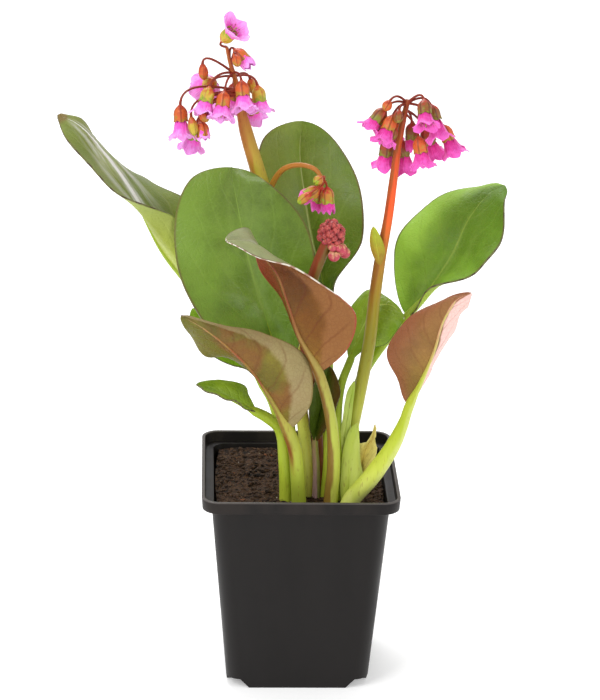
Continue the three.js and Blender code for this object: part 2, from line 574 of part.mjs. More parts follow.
// A head of unopened buds: balls spread evenly over an egg-shaped core, and two larger ones below it.
const BUD_HEAD = { centre: [14, -30, 267], radii: [5.2, 5.2, 5.6], balls: 24, ball: 2.8 };
const LOWER_BUDS = [[20, -32, 258, 3.3], [15, -34, 255, 3.2], [22, -28, 255, 3]];
function budScape(grow = 0) {
  const [cx, cy, cz] = BUD_HEAD.centre;
  const [rx, ry, rz] = BUD_HEAD.radii;
  const core = new THREE.SphereGeometry(1, 6, 4).scale(rx, ry, rz).translate(cx, cy, cz);
  const balls = [];
  for (let i = 0; i < BUD_HEAD.balls; i++) {
    const level = 1 - (2 * (i + 0.5)) / BUD_HEAD.balls;
    const turn = i * Math.PI * (3 - Math.sqrt(5));
    const round = Math.sqrt(1 - level * level);
    const ball = new THREE.IcosahedronGeometry(BUD_HEAD.ball + grow, 0);
    const x = cx + rx * round * Math.cos(turn);
    const y = cy + ry * round * Math.sin(turn);
    balls.push(solid(ball.translate(x, y, cz + rz * level)));
  }
  for (const [x, y, z, radius] of LOWER_BUDS) {
    balls.push(solid(new THREE.IcosahedronGeometry(radius + grow, 0).translate(x, y, z)));
    const curve = new THREE.LineCurve3(vector([x, y, z]), vector(BUD_HEAD.centre));
    balls.push(stalk(curve, [[0, 1.2], [1, 1.2]], 5, 2, grow));
  }
  const top = smoothCurve([...rooted(BUD_STALK), BUD_HEAD.centre]);
  const steps = Math.round(top.getLength() / 18);
  return joined([stalk(top, [[0, 3.2], [1, 3.2]], 7, steps, grow), solid(core), ...balls]);
}

// The dry sheath at the foot of the right stalk.
const SHEATH = {
  rib: [[30, -27, 104], [31, -26, 120], [34, -26, 132], [36, -25, 140], [39, -25, 147], [41, -25, 155]],
  left: [[26, -27, 114], [27, -27, 129], [31, -26, 145], [37, -26, 145]],
  right: [[34, -27, 114], [38, -27, 127], [43, -26, 140], [42, -26, 148]],
  grid: [4, 8], camberLeft: [0.15, 0.15], camberRight: [0.15, 0.15], wave: 0.7, thickness: 1, colour: 0xb99c6a,
};

// Pieces that press together keep the clearance: the later one is hollowed to fit the earlier ones.
function nestle(makers) {
  const placed = [];
  for (const [name, make] of makers) {
    let body = make(0);
    for (const earlier of placed) {
      if (body.intersect(earlier.grown).volume() > 0) body = body.subtract(earlier.grown);
    }
    placed.push({ name, body: largest(body), grown: make(CLEARANCE) });
  }
  return placed;
}

const bellMakers = (prefix, flowers) =>
  flowers
    .filter(([kind]) => kind !== "bud")
    .map((flower, i) => [`${prefix}_${i + 1}`, (grow) => corolla(flower, grow)]);

const leafMakers = Object.entries(LEAVES).map(([name, shape]) => [name, (grow) => leaf(shape, grow)]);
const pieces = nestle([
  ["scape_right", rightScape],
  ["scape_left", leftScape],
  ["scape_bud", budScape],
  ...leafMakers,
  ["dry_sheath", (grow) => blade(SHEATH, grow)],
  ...bellMakers("bell_left", LEFT_FLOWERS),
  ...bellMakers("bell_right", RIGHT_FLOWERS),
  ...bellMakers("bell_nodding", NODDING_FLOWERS),
]);

function colourOf(name) {
  if (name.startsWith("bell")) return 0xe565c8;
  if (name === "scape_bud") return 0xb4554d;
  if (name === "scape_left") return 0xb98a3c;
  if (name === "scape_right") return 0xb5622f;
  if (name === "dry_sheath") return SHEATH.colour;
  return LEAVES[name].colour;
}

const plant = new THREE.Group();
function add(name, body, color, roughness) {
  const material = new THREE.MeshStandardMaterial({ color, roughness, metalness: 0 });
  const mesh = new THREE.Mesh(geometryOf(body), material);
  mesh.name = name;
  plant.add(mesh);
}

const standing = pieces.filter(({ grown }) => grown.boundingBox().min[2] < SOIL_LEVEL + 5);
add("pot", pot(), 0x2b2827, 0.45);
add("soil", largest(standing.reduce((bed, { grown }) => bed.subtract(grown), soil())), 0x35231a, 0.95);
for (const { name, body } of pieces) add(name, body, colourOf(name), 0.5);

export default plant;
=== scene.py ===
import math
import random
import bmesh
import bpy
from mathutils import Matrix, Vector, noise


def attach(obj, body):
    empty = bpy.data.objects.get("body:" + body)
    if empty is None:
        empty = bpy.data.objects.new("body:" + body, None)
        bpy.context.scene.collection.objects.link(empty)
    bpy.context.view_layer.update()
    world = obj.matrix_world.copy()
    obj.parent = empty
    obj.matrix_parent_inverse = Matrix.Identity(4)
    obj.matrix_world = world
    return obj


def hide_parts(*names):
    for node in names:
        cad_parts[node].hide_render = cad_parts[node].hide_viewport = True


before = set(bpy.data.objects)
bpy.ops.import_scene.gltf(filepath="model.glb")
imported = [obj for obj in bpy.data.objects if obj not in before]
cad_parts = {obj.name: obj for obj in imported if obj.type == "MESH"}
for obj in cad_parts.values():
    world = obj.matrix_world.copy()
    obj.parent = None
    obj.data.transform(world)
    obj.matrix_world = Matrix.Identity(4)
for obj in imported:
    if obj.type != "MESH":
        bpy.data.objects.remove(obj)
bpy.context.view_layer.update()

# Camera
# It looks slightly down on the plant from the front, a little left of its middle, and leans by one
# degree, as the photograph does.
DISTANCE, SENSOR, FOCUS_PIXELS, PICTURE_HEIGHT = 1.5, 36, 2685, 700
turn, lift, roll = math.radians(-2.18), math.radians(19.66), math.radians(1.10)
back = Vector((math.sin(turn) * math.cos(lift), -math.cos(turn) * math.cos(lift), math.sin(lift)))
side = Vector((math.cos(turn), math.sin(turn), 0))
rise = back.cross(side)
aim = Vector((0, 0, 0.1897)) - side * 0.0006
bpy.ops.object.camera_add(location=aim + back * DISTANCE)
camera = bpy.context.object
right_way = side * math.cos(roll) + rise * math.sin(roll)
up_way = rise * math.cos(roll) - side * math.sin(roll)
camera.rotation_euler = Matrix((right_way, up_way, back)).transposed().to_euler()
camera.data.sensor_width = SENSOR
camera.data.lens = FOCUS_PIXELS / PICTURE_HEIGHT * SENSOR
bpy.context.scene.camera = camera

# Floor and studio light
# A plain white floor that glows a little, as a light table does, in a white room, with three large
# soft lights: one from the upper left, a weaker one from the right, and one from behind that shines
# on the upper sides of the leaves.
bpy.ops.mesh.primitive_plane_add(size=12)
floor = bpy.context.object
floor.name = "floor"
white = bpy.data.materials.new("white floor")
white.use_nodes = True
for label, value in {
    "Base Color": (0.93, 0.93, 0.93, 1), "Roughness": 0.9, "Specular IOR Level": 0.1,
    "Emission Color": (1, 1, 1, 1), "Emission Strength": 0.3,
}.items():
    white.node_tree.nodes["Principled BSDF"].inputs[label].default_value = value
floor.data.materials.append(white)

world = bpy.data.worlds.new("white room")
world.use_nodes = True
world.node_tree.nodes["Background"].inputs["Color"].default_value = (1, 1, 1, 1)
world.node_tree.nodes["Background"].inputs["Strength"].default_value = 0.62
bpy.context.scene.world = world
bpy.context.scene.view_settings.view_transform = "Standard"


def soft_light(name, place, power, size):
    bpy.ops.object.light_add(type="AREA", location=place)
    light = bpy.context.object
    light.name = name
    light.data.energy = power
    light.data.size = size
    light.rotation_euler = (Vector((0, 0, 0.2)) - Vector(place)).to_track_quat("-Z", "Y").to_euler()


soft_light("light_upper_left", (-1.1, -1.1, 1.5), 17, 0.9)
soft_light("light_right", (1.5, -0.9, 1.0), 8, 1.0)
soft_light("light_behind", (-0.3, 1.2, 1.5), 16, 0.8)

# Pot
# A square nursery pot, injection-moulded in near-black polypropylene. It tapers to its foot, has a
# stiff collar with rounded corners, and four raised bottom corners with a drain hole through each.
MM = 0.001
POT_HEIGHT, LEDGE = 120, 113
COLLAR, BODY_TOP, BODY_FOOT = 110, 99, 80
COLLAR_WALL, WALL, POT_FLOOR = 1.6, 1.3, 1.6
NOTCH_HEIGHT, NOTCH_FLAT, NOTCH_FOOT = 5.5, 7.5, 13.5
DRAIN_PLACE, DRAIN_RADIUS = 35, 1.9


def paint(code):
    """A colour as a screen shows it, such as '2d2928', as the linear colour of a shader."""
    parts = [int(code[i : i + 2], 16) / 255 for i in (0, 2, 4)]
    return tuple(p / 12.92 if p <= 0.04045 else ((p + 0.055) / 1.055) ** 2.4 for p in parts) + (1,)


def take(thing):
    """Makes one object the only one selected, and the active one."""
    bpy.ops.object.select_all(action="DESELECT")
    thing.select_set(True)
    bpy.context.view_layer.objects.active = thing


def smooth(thing, degrees):
    """Shades a piece smooth, but for the edges sharper than this."""
    take(thing)
    bpy.ops.object.shade_smooth_by_angle(angle=math.radians(degrees))


def pick(thing, what, test):
    """In edit mode, selects only the faces, edges or verts that the test is true for."""
    kind = {"faces": "FACE", "edges": "EDGE", "verts": "VERT"}[what]
    bpy.ops.mesh.select_mode(type=kind)
    bpy.ops.mesh.select_all(action="DESELECT")
    form = bmesh.from_edit_mesh(thing.data)
    for item in getattr(form, what):
        if test(item):
            item.select_set(True)
    form.select_flush_mode()
    bmesh.update_edit_mesh(thing.data)


def apply(thing, kind, **settings):
    """Adds a modifier and applies it at once."""
    take(thing)
    change = thing.modifiers.new(kind.lower(), kind)
    for key, value in settings.items():
        setattr(change, key, value)
    bpy.ops.object.modifier_apply(modifier=change.name)


def combine(body, tool, operation):
    """Joins a block to the body or cuts it out, and removes the block."""
    apply(body, "BOOLEAN", operation=operation, object=tool, solver="EXACT")
    bpy.data.objects.remove(tool, do_unlink=True)


def square_block(name, foot, top, corner, low, high):
    """A square block that widens from its foot to its top, with rounded upright edges."""
    bpy.ops.object.select_all(action="DESELECT")
    bpy.ops.mesh.primitive_cube_add(
        size=MM, location=(0, 0, (low + high) / 2 * MM), scale=(foot, foot, high - low)
    )
    body = bpy.context.object
    body.name = name
    bpy.ops.object.transform_apply(location=True, rotation=True, scale=True)
    bpy.ops.object.mode_set(mode="EDIT")
    pick(body, "faces", lambda face: face.normal.z > 0.9)
    bpy.ops.transform.resize(value=(top / foot, top / foot, 1), center_override=(0, 0, high * MM))
    pick(body, "edges", lambda edge: abs(edge.verts[0].co.z - edge.verts[1].co.z) > 1e-5)
    bpy.ops.mesh.bevel(offset=corner * MM, offset_type="OFFSET", segments=9, affect="EDGES")
    bpy.ops.object.mode_set(mode="OBJECT")
    return body


def corner_wedge(way_x, way_y, margin):
    """A block at one bottom corner whose two inner sides slope, as the mould's insert has it."""
    bpy.ops.object.select_all(action="DESELECT")
    bpy.ops.mesh.primitive_cube_add(size=1)
    wedge = bpy.context.object
    for corner in wedge.data.vertices:
        high = corner.co.z > 0
        inner = BODY_FOOT / 2 - (NOTCH_FLAT if high else NOTCH_FOOT) - margin
        x = BODY_FOOT if corner.co.x * way_x > 0 else inner
        y = BODY_FOOT if corner.co.y * way_y > 0 else inner
        corner.co = Vector((x * way_x, y * way_y, NOTCH_HEIGHT + margin if high else -1)) * MM
    return wedge


FOUR_WAYS = ((1, 1), (-1, 1), (-1, -1), (1, -1))
pot = square_block("nursery_pot", BODY_FOOT, BODY_TOP, 8.6, 0, LEDGE + 0.5)
combine(pot, square_block("collar", COLLAR - 1, COLLAR, 9.8, LEDGE, POT_HEIGHT), "UNION")
space = square_block("space", BODY_FOOT - 2 * WALL, BODY_TOP - 2 * WALL, 7.6, POT_FLOOR, LEDGE + WALL)
inner_collar = COLLAR - 2 * COLLAR_WALL
combine(
    space, square_block("mouth", inner_collar - 1, inner_collar, 8.4, LEDGE + WALL - 0.01, POT_HEIGHT + 5),
    "UNION"
)
for way_x, way_y in FOUR_WAYS:
    combine(space, corner_wedge(way_x, way_y, WALL), "DIFFERENCE")
combine(pot, space, "DIFFERENCE")
for way_x, way_y in FOUR_WAYS:
    combine(pot, corner_wedge(way_x, way_y, 0), "DIFFERENCE")
    bpy.ops.object.select_all(action="DESELECT")
    place = (way_x * DRAIN_PLACE * MM, way_y * DRAIN_PLACE * MM, 0.006)
    bpy.ops.mesh.primitive_cylinder_add(vertices=20, radius=DRAIN_RADIUS * MM, depth=0.012, location=place)
    combine(pot, bpy.context.object, "DIFFERENCE")
apply(pot, "BEVEL", width=0.4 * MM, segments=3, limit_method="ANGLE", angle_limit=math.radians(38))
smooth(pot, 32)


def node(tree, kind, inputs=None, **settings):
    """Adds a shader node. An input is given by its name or number, as a value or another node's output."""
    added = tree.nodes.new(kind)
    for key, value in settings.items():
        setattr(added, key, value)
    for key, value in (inputs or {}).items():
        socket = added.inputs[key]
        if isinstance(value, bpy.types.NodeSocket):
            tree.links.new(value, socket)
        else:
            socket.default_value = value
    return added


def sum_up(tree, operation, a, b=0.0, c=0.0):
    """One step of arithmetic with up to three values."""
    return node(tree, "ShaderNodeMath", {0: a, 1: b, 2: c}, operation=operation).outputs[0]


def times(tree, a, b):
    return sum_up(tree, "MULTIPLY", a, b)


def blend(tree, share, a, b):
    """Two colours mixed by a share from 0 to 1."""
    return node(tree, "ShaderNodeMix", {"Factor": share, 6: a, 7: b}, data_type="RGBA").outputs[2]


def fade(tree, value, low, high, start=0.0, end=1.0):
    """A value turned from low..high into start..end, eased at both ends."""
    return node(
        tree,
        "ShaderNodeMapRange",
        {"Value": value, "From Min": low, "From Max": high, "To Min": start, "To Max": end},
        interpolation_type="SMOOTHSTEP",
    ).outputs[0]


def raised(tree, shader, height, strength, distance):
    """Roughens a surface by a height between 0 and 1, up to a distance in metres."""
    bump = node(tree, "ShaderNodeBump", {"Strength": strength, "Distance": distance, "Height": height})
    tree.links.new(bump.outputs[0], shader.inputs["Normal"])


def object_place(tree):
    """Where a point lies on the finished piece, in metres."""
    return node(tree, "ShaderNodeTexCoord").outputs["Object"]


def cloudiness(tree, place, scale, **more):
    """Soft noise from 0 to 1 over a place. more sets other inputs of the noise by their names."""
    return node(tree, "ShaderNodeTexNoise", {"Vector": place, "Scale": scale, **more}).outputs[0]


def finish_named(name, roughness, specular=0.5, coat=0.0, coat_roughness=0.2, sheen=0.0):
    """A material with its shader, whose uniform numbers are set on the shader itself."""
    material = bpy.data.materials.new(name)
    material.use_nodes = True
    tree = material.node_tree
    shader = tree.nodes["Principled BSDF"]
    shader.inputs["Roughness"].default_value = roughness
    shader.inputs["Specular IOR Level"].default_value = specular
    shader.inputs["Coat Weight"].default_value = coat
    shader.inputs["Coat Roughness"].default_value = coat_roughness
    shader.inputs["Sheen Weight"].default_value = sheen
    return material, tree, shader


def new_group(name, inputs, outputs):
    """An empty shader group with named inputs, given with their values, and named outputs."""
    group = bpy.data.node_groups.new(name, "ShaderNodeTree")
    for label, value in inputs.items():
        socket = group.interface.new_socket(label, in_out="INPUT", socket_type="NodeSocketFloat")
        socket.default_value = value
    for label in outputs:
        group.interface.new_socket(label, in_out="OUTPUT", socket_type="NodeSocketFloat")
    return group, group.nodes.new("NodeGroupInput"), group.nodes.new("NodeGroupOutput")


# Fine grain: a soft mottle and small specks in object space, for whatever is dusty or grown.
grain, given, result = new_group("grain", {"Scale": 100.0, "Stretch": 1.0}, ("Mottle", "Specks"))
where = object_place(grain)
parts = node(grain, "ShaderNodeSeparateXYZ", {0: where})
flat_z = times(grain, parts.outputs[2], given.outputs["Stretch"])
drawn = node(grain, "ShaderNodeCombineXYZ", {0: parts.outputs[0], 1: parts.outputs[1], 2: flat_z}).outputs[0]
cloud = cloudiness(grain, drawn, given.outputs["Scale"], Detail=4.0)
dots = cloudiness(grain, drawn, times(grain, given.outputs["Scale"], 6.0), Detail=1.0)
grain.links.new(fade(grain, cloud, 0.35, 0.65), result.inputs["Mottle"])
grain.links.new(fade(grain, dots, 0.62, 0.72), result.inputs["Specks"])


def grained(tree, scale, stretch=1.0):
    """The grain's mottle and specks. A stretch below 1 draws them out in height."""
    added = node(tree, "ShaderNodeGroup")
    added.node_tree = grain
    added.inputs["Scale"].default_value = scale
    added.inputs["Stretch"].default_value = stretch
    return added.outputs


plastic, tree, shader = finish_named("black polypropylene", 0.42, specular=0.2)
marks = grained(tree, 60, 0.25)
height = node(tree, "ShaderNodeSeparateXYZ", {0: object_place(tree)}).outputs[2]
dusty = times(tree, fade(tree, height, 0.104, 0.119), marks["Mottle"])
base = blend(tree, marks["Mottle"], paint("171413"), paint("1b1817"))
dust = times(tree, dusty, 0.2)
dusted = blend(tree, dust, base, paint("4a3f38"))
# Painted highlight: the top edge of the rim turns pale grey, for the light that catches it.
painted_rim_highlight = times(tree, fade(tree, height, 0.1192, 0.1198), 0.24)
tree.links.new(blend(tree, painted_rim_highlight, dusted, paint("9a928f")), shader.inputs["Base Color"])
tree.links.new(fade(tree, marks["Mottle"], 0, 1, 0.38, 0.5), shader.inputs["Roughness"])
raised(tree, shader, cloudiness(tree, object_place(tree), 1800.0), 0.12, 0.0002)
pot.data.materials.append(plastic)
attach(pot, "root")
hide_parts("pot")

# Soil
# Moist peat and composted bark, loosely filled to 8 mm below the rim. Its surface is crumbly, with
# rust-brown chips of bark, pale fibres and a few light grains.
SOIL_LEVEL, SOIL_RELIEF = 112, 1.3
SOIL_HALF, STREWN = 47.4, 45


def soil_height(x, y):
    """Height of the loose surface in mm: the broad swells, then lumps and crumbs."""
    broad = math.sin(x / 13 + 0.6) * math.cos(y / 11 - 0.4)
    fine = math.sin(x / 4.1 + y / 6.3) * math.cos(y / 3.7 - x / 8.9)
    lumps = noise.noise(Vector((x / 5, y / 5, 3.1))) + 0.5 * noise.noise(Vector((x / 2.1, y / 2.1, 8.4)))
    lumps += 0.35 * noise.noise(Vector((x / 0.9, y / 0.9, 5.7)))
    return SOIL_LEVEL + SOIL_RELIEF * (0.7 * broad + 0.5 * fine) + 1.1 * lumps - 0.8


bpy.ops.object.select_all(action="DESELECT")
bpy.ops.mesh.primitive_grid_add(x_subdivisions=150, y_subdivisions=150, size=2)
soil = bpy.context.object
soil.name = "potting_soil"
for point in soil.data.vertices:
    x, y = point.co.x, point.co.y
    wide = SOIL_HALF * math.sqrt(1 - 0.2 * y * y / 2)
    deep = SOIL_HALF * math.sqrt(1 - 0.2 * x * x / 2)
    point.co = Vector((x * wide, y * deep, soil_height(x * wide, y * deep))) * MM
bpy.ops.object.mode_set(mode="EDIT")
pick(soil, "edges", lambda edge: edge.is_boundary)
bpy.ops.mesh.extrude_region_move(TRANSFORM_OT_translate={"value": (0, 0, -0.004)})
bpy.ops.transform.resize(value=(1, 1, 0), center_override=(0, 0, 0.105))
bpy.ops.mesh.extrude_region_move(TRANSFORM_OT_translate={"value": (0, 0, -0.097)})
bpy.ops.transform.resize(value=(0.8, 0.8, 1), center_override=(0, 0, 0.008))
bpy.ops.mesh.edge_face_add()
bpy.ops.object.mode_set(mode="OBJECT")
bpy.ops.object.shade_smooth_by_angle(angle=math.radians(50))

peat, tree, shader = finish_named("moist peat", 0.85, specular=0.25)
marks = grained(tree, 480)
clumps = grained(tree, 70)
dark = blend(tree, marks["Mottle"], paint("0b0604"), paint("46301f"))
brown = blend(tree, times(tree, clumps["Mottle"], 0.35), dark, paint("4a3323"))
light = times(tree, marks["Specks"], 0.6)
tree.links.new(blend(tree, light, brown, paint("8a6a4c")), shader.inputs["Base Color"])
raised(tree, shader, cloudiness(tree, object_place(tree), 1400.0, Detail=5.0), 0.8, 0.0008)
soil.data.materials.append(peat)
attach(soil, "root")
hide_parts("soil")


def strew(name, master, placings, material):
    """Copies a small master shape to many places, as one loose heap."""
    heap = bmesh.new()
    for placing in placings:
        copy = master.data.copy()
        copy.transform(placing)
        heap.from_mesh(copy)
        bpy.data.meshes.remove(copy)
    mesh = bpy.data.meshes.new(name)
    heap.to_mesh(mesh)
    heap.free()
    loose = bpy.data.objects.new(name, mesh)
    bpy.context.collection.objects.link(loose)
    mesh.materials.append(material)
    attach(loose, "root")
    return loose


def lump(name, seed, flat):
    """An irregular crumb from an icosphere with its points moved."""
    bpy.ops.object.select_all(action="DESELECT")
    bpy.ops.mesh.primitive_ico_sphere_add(subdivisions=1, radius=1)
    crumb = bpy.context.object
    crumb.name = name
    draw = random.Random(seed)
    for point in crumb.data.vertices:
        point.co *= draw.uniform(0.65, 1.2)
        point.co.z *= flat
    return crumb


def soil_places(seed, count, small, large, sunk, stretch=1.0, by_wall=0.0):
    """Places strewn over the surface; by_wall is the share of them heaped along the pot's walls."""
    draw = random.Random(seed)
    placings = []
    for _ in range(count):
        x, y = draw.uniform(-STREWN, STREWN), draw.uniform(-STREWN, STREWN)
        if draw.random() < by_wall:
            run = draw.uniform(-42, 42)
            reach = draw.choice((-1, 1)) * draw.uniform(0.93, 0.98) * SOIL_HALF
            reach *= math.sqrt(1 - 0.1 * (run / SOIL_HALF) ** 2)
            x, y = (reach, run) if draw.random() < 0.5 else (run, reach)
        size = small + (large - small) * draw.random() ** 3
        spot = Vector((x, y, soil_height(x, y) + sunk * size)) * MM
        spin = Matrix.Rotation(draw.uniform(0, 6.28), 4, "Z")
        spin = spin @ Matrix.Rotation(draw.uniform(-0.6, 0.6), 4, "X")
        scale = Matrix.Diagonal((size * stretch * MM, size * MM, size * MM, 1))
        placings.append(Matrix.Translation(spot) @ spin @ scale)
    return placings


def two_tone(name, roughness, specular, scale, dark, light):
    """A dusty or dried material whose fine mottle runs between two colours."""
    material, tree, shader = finish_named(name, roughness, specular=specular)
    mottle = grained(tree, scale)["Mottle"]
    tree.links.new(blend(tree, mottle, paint(dark), paint(light)), shader.inputs["Base Color"])
    return material


crumb = lump("crumb", 5, 0.75)
strew(
    "soil_crumbs", crumb, soil_places(seed=11, count=3200, small=0.22, large=1.8, sunk=0.2, by_wall=0.28),
    peat
)
bark = two_tone("rust-brown bark", 0.85, 0.3, 300, "4a2614", "8a4f28")
chip = lump("chip", 9, 0.3)
strew(
    "bark_chips", chip, soil_places(seed=23, count=110, small=0.35, large=1.2, sunk=0.35, stretch=1.9), bark,
)
grit = two_tone("pale grit", 0.6, 0.4, 400, "8c8177", "d8cfc4")
strew(
    "soil_grit", crumb, soil_places(seed=31, count=60, small=0.12, large=0.4, sunk=0.6), grit
)
for master in (crumb, chip):
    bpy.data.objects.remove(master, do_unlink=True)


class Rail:
    """A smooth line through points given in mm, evenly bent however far apart they are."""

    def __init__(self, points, closed=False):
        self.points = [Vector(point) for point in points]
        self.closed = closed

    def at(self, share):
        points, count = self.points, len(self.points)
        reach = (count if self.closed else count - 1) * share
        first = math.floor(reach)
        part = reach - first
        if self.closed:
            first %= count
        elif first >= count - 1:
            first, part = count - 2, 1.0
        if self.closed or first > 0:
            before = points[(first - 1) % count]
        else:
            before = 2 * points[0] - points[1]
        start, end = points[first % count], points[(first + 1) % count]
        if self.closed or first + 2 < count:
            after = points[(first + 2) % count]
        else:
            after = 2 * points[-1] - points[-2]
        knots = (before, start, end, after)
        gaps = [max((b - a).length_squared ** 0.25, 1e-4) for a, b in zip(knots, knots[1:])]
        leave = (start - before) / gaps[0] - (end - before) / (gaps[0] + gaps[1]) + (end - start) / gaps[1]
        arrive = (end - start) / gaps[1] - (after - start) / (gaps[1] + gaps[2]) + (after - end) / gaps[2]
        leave, arrive = leave * gaps[1], arrive * gaps[1]
        square, cube = part * part, part**3
        bend = (2 * start - 2 * end + leave + arrive) * cube
        return start + leave * part + (3 * end - 3 * start - 2 * leave - arrive) * square + bend

    def ahead(self, share):
        low, high = max(share - 1e-4, 0), min(share + 1e-4, 1)
        return (self.at(high) - self.at(low)).normalized()

    def spaced(self, steps):
        """Points at even distances along the line."""
        fine = [self.at(i / (steps * 12)) for i in range(steps * 12 + 1)]
        run = [0.0]
        for a, b in zip(fine, fine[1:]):
            run.append(run[-1] + (b - a).length)
        track, i = [], 0
        for step in range(steps + 1):
            goal = run[-1] * step / steps
            while i < len(run) - 2 and run[i + 1] < goal:
                i += 1
            part = (goal - run[i]) / max(run[i + 1] - run[i], 1e-9)
            track.append(fine[i].lerp(fine[i + 1], part))
        return track


def along(pairs, share):
    """A value read from (share, value) pairs, straight between them."""
    for (start, before), (end, value) in zip(pairs, pairs[1:]):
        if share <= end:
            return before + (value - before) * (share - start) / (end - start)
    return pairs[-1][1]


def strand(name, track, radii, roundness):
    """A round strand along a track of points in mm, with its radius read along its length."""
    bpy.ops.object.select_all(action="DESELECT")
    bpy.ops.curve.primitive_nurbs_path_add()
    line = bpy.context.object
    line.name = name
    line.data.splines.clear()
    run = line.data.splines.new("POLY")
    run.points.add(len(track) - 1)
    for i, (knot, place) in enumerate(zip(run.points, track)):
        knot.co = (*(place * MM), 1)
        knot.radius = along(radii, i / (len(track) - 1))
    line.data.bevel_depth = MM
    line.data.bevel_resolution = roundness
    line.data.use_fill_caps = True
    bpy.ops.object.convert(target="MESH")
    return bpy.context.object


def join(pieces, name):
    """Joins separate meshes into the first one."""
    bpy.ops.object.select_all(action="DESELECT")
    for piece in pieces:
        piece.select_set(True)
    bpy.context.view_layer.objects.active = pieces[0]
    if len(pieces) > 1:
        bpy.ops.object.join()
    pieces[0].name = name
    return pieces[0]


fibre = two_tone("peat fibre", 0.8, 0.3, 200, "3b2619", "7d5f45")
FIBRES = 130
draw = random.Random(77)
threads = []
for _ in range(FIBRES):
    x, y, heading = draw.uniform(-44, 44), draw.uniform(-44, 44), draw.uniform(0, 6.28)
    track = []
    for step in range(7):
        heading += draw.uniform(-0.5, 0.5)
        x, y = x + 1.6 * math.cos(heading), y + 1.6 * math.sin(heading)
        x, y = max(-STREWN, min(STREWN, x)), max(-STREWN, min(STREWN, y))
        track.append(Vector((x, y, soil_height(x, y) + 0.5 + 0.9 * math.sin(step * 0.52))))
    threads.append(strand("thread", track, [(0, 0.13), (1, 0.07)], 0))
fibres = join(threads, "soil_fibres")
fibres.data.materials.append(fibre)
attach(fibres, "root")

# Leaves
# Thick leathery blades, glossy above and duller below, on round fleshy stalks that run on under the
# blade as its rib. Side veins leave the rib in pairs and bend towards the tip.
BLADE, ROOTED = 0.9, 11
PAIRS, SLANT = 7, 0.34
WAVES, TEETH = 4, 22.0


def vein_at(u, v):
    """How close a point of the blade is to one of its sunken side veins, from 0 to 1."""
    line = PAIRS * (v - SLANT * abs(u)) + (0.5 if u < 0 else 0)
    away = abs(line - round(line)) / PAIRS
    return max(0, 1 - away / 0.022) * min(1, 3 * (1 - abs(u))) * min(1, 6 * v)


def blade_surface(shape):
    """The middle surface of a blade: u runs from its left edge over the rib to its right edge, as seen
    on its upper side, and v from the stalk to the tip."""
    rib, left, right = shape["rib"], shape["left"], shape["right"]
    rib_line = Rail(rib)
    outline = Rail([rib[0], *left, rib[-1], *right[::-1]], closed=True)
    camber_left, camber_right = shape["camber"]
    wave, relief = shape.get("wave", 1.2), shape.get("relief", 1)
    torn = shape.get("torn", 0)

    def surface(u, v):
        eased = 0.6 * (0.5 - 0.5 * math.cos(math.pi * v)) + 0.4 * v
        middle = rib_line.at(eased)
        across = outline.at(eased / 2 if u < 0 else 1 - eased / 2) - middle
        width, share = across.length, abs(u)
        upward = rib_line.ahead(eased).cross(across) * (-1 if u >= 0 else 1)
        if upward.length > 0:
            upward.normalize()
        ripple = wave * math.sin(2 * math.pi * WAVES * v + 2 * u) * share**3 * math.sin(math.pi * v)
        near_stalk, near_tip = camber_left if u < 0 else camber_right
        camber = near_stalk + (near_tip - near_stalk) * eased
        arch = 4 * camber * width * share * (1 - share)
        swell = 0.25 * math.sin(math.pi * v) * noise.noise(Vector((3 * u, 6 * v, width)))
        quilt = relief * (swell - 0.12 * vein_at(u, v))
        if torn and v > 0.45:
            jag = abs(noise.noise(Vector((14 * v, 3 if u < 0 else 9, 2.5))))
            jag += 0.5 * abs(math.sin(31 * v + 5 * u))
            share *= 1 - torn * 0.45 * jag * share * min(1, (v - 0.45) * 5)
        return middle + across * share + upward * (arch + ripple + quilt)

    return surface


def lay_blade(name, shape, faces, columns=28, rows=84):
    """A grid bent into the blade, then thickened. faces are its upper, lower and edge materials."""
    surface = blade_surface(shape)
    bpy.ops.object.select_all(action="DESELECT")
    bpy.ops.mesh.primitive_grid_add(x_subdivisions=columns, y_subdivisions=rows, size=2)
    sheet = bpy.context.object
    sheet.name = name
    for point in sheet.data.vertices:
        point.co = surface(point.co.x, (point.co.y + 1) / 2) * MM
    for material in faces:
        sheet.data.materials.append(material)
    thickness = shape.get("thickness", BLADE) * MM
    apply(sheet, "SOLIDIFY", thickness=thickness, offset=0, material_offset=1, material_offset_rim=2)
    return sheet


def under_rib(shape):
    """The rib's points, sunk a little below the blade."""
    surface = blade_surface({**shape, "relief": 0})
    last = len(shape["rib"]) - 1
    sunk = shape["radii"][-2][1] * 0.3
    track = []
    for i, point in enumerate(shape["rib"][:last]):
        v = (i + 0.3) / last
        across = surface(0.2, v) - surface(-0.2, v)
        under = (surface(0, min(v + 0.05, 1)) - surface(0, v)).cross(across).normalized()
        track.append(Vector(point) + under * sunk * (1 - i / last))
    return track


def rooted(points):
    """A stalk's points with one more, where it stands in the soil."""
    foot = Vector(points[0])
    away = (foot - Vector(points[1])).normalized()
    away.z -= 1
    return [foot + away * ((foot.z - (SOIL_LEVEL - ROOTED)) / -away.z), *points]


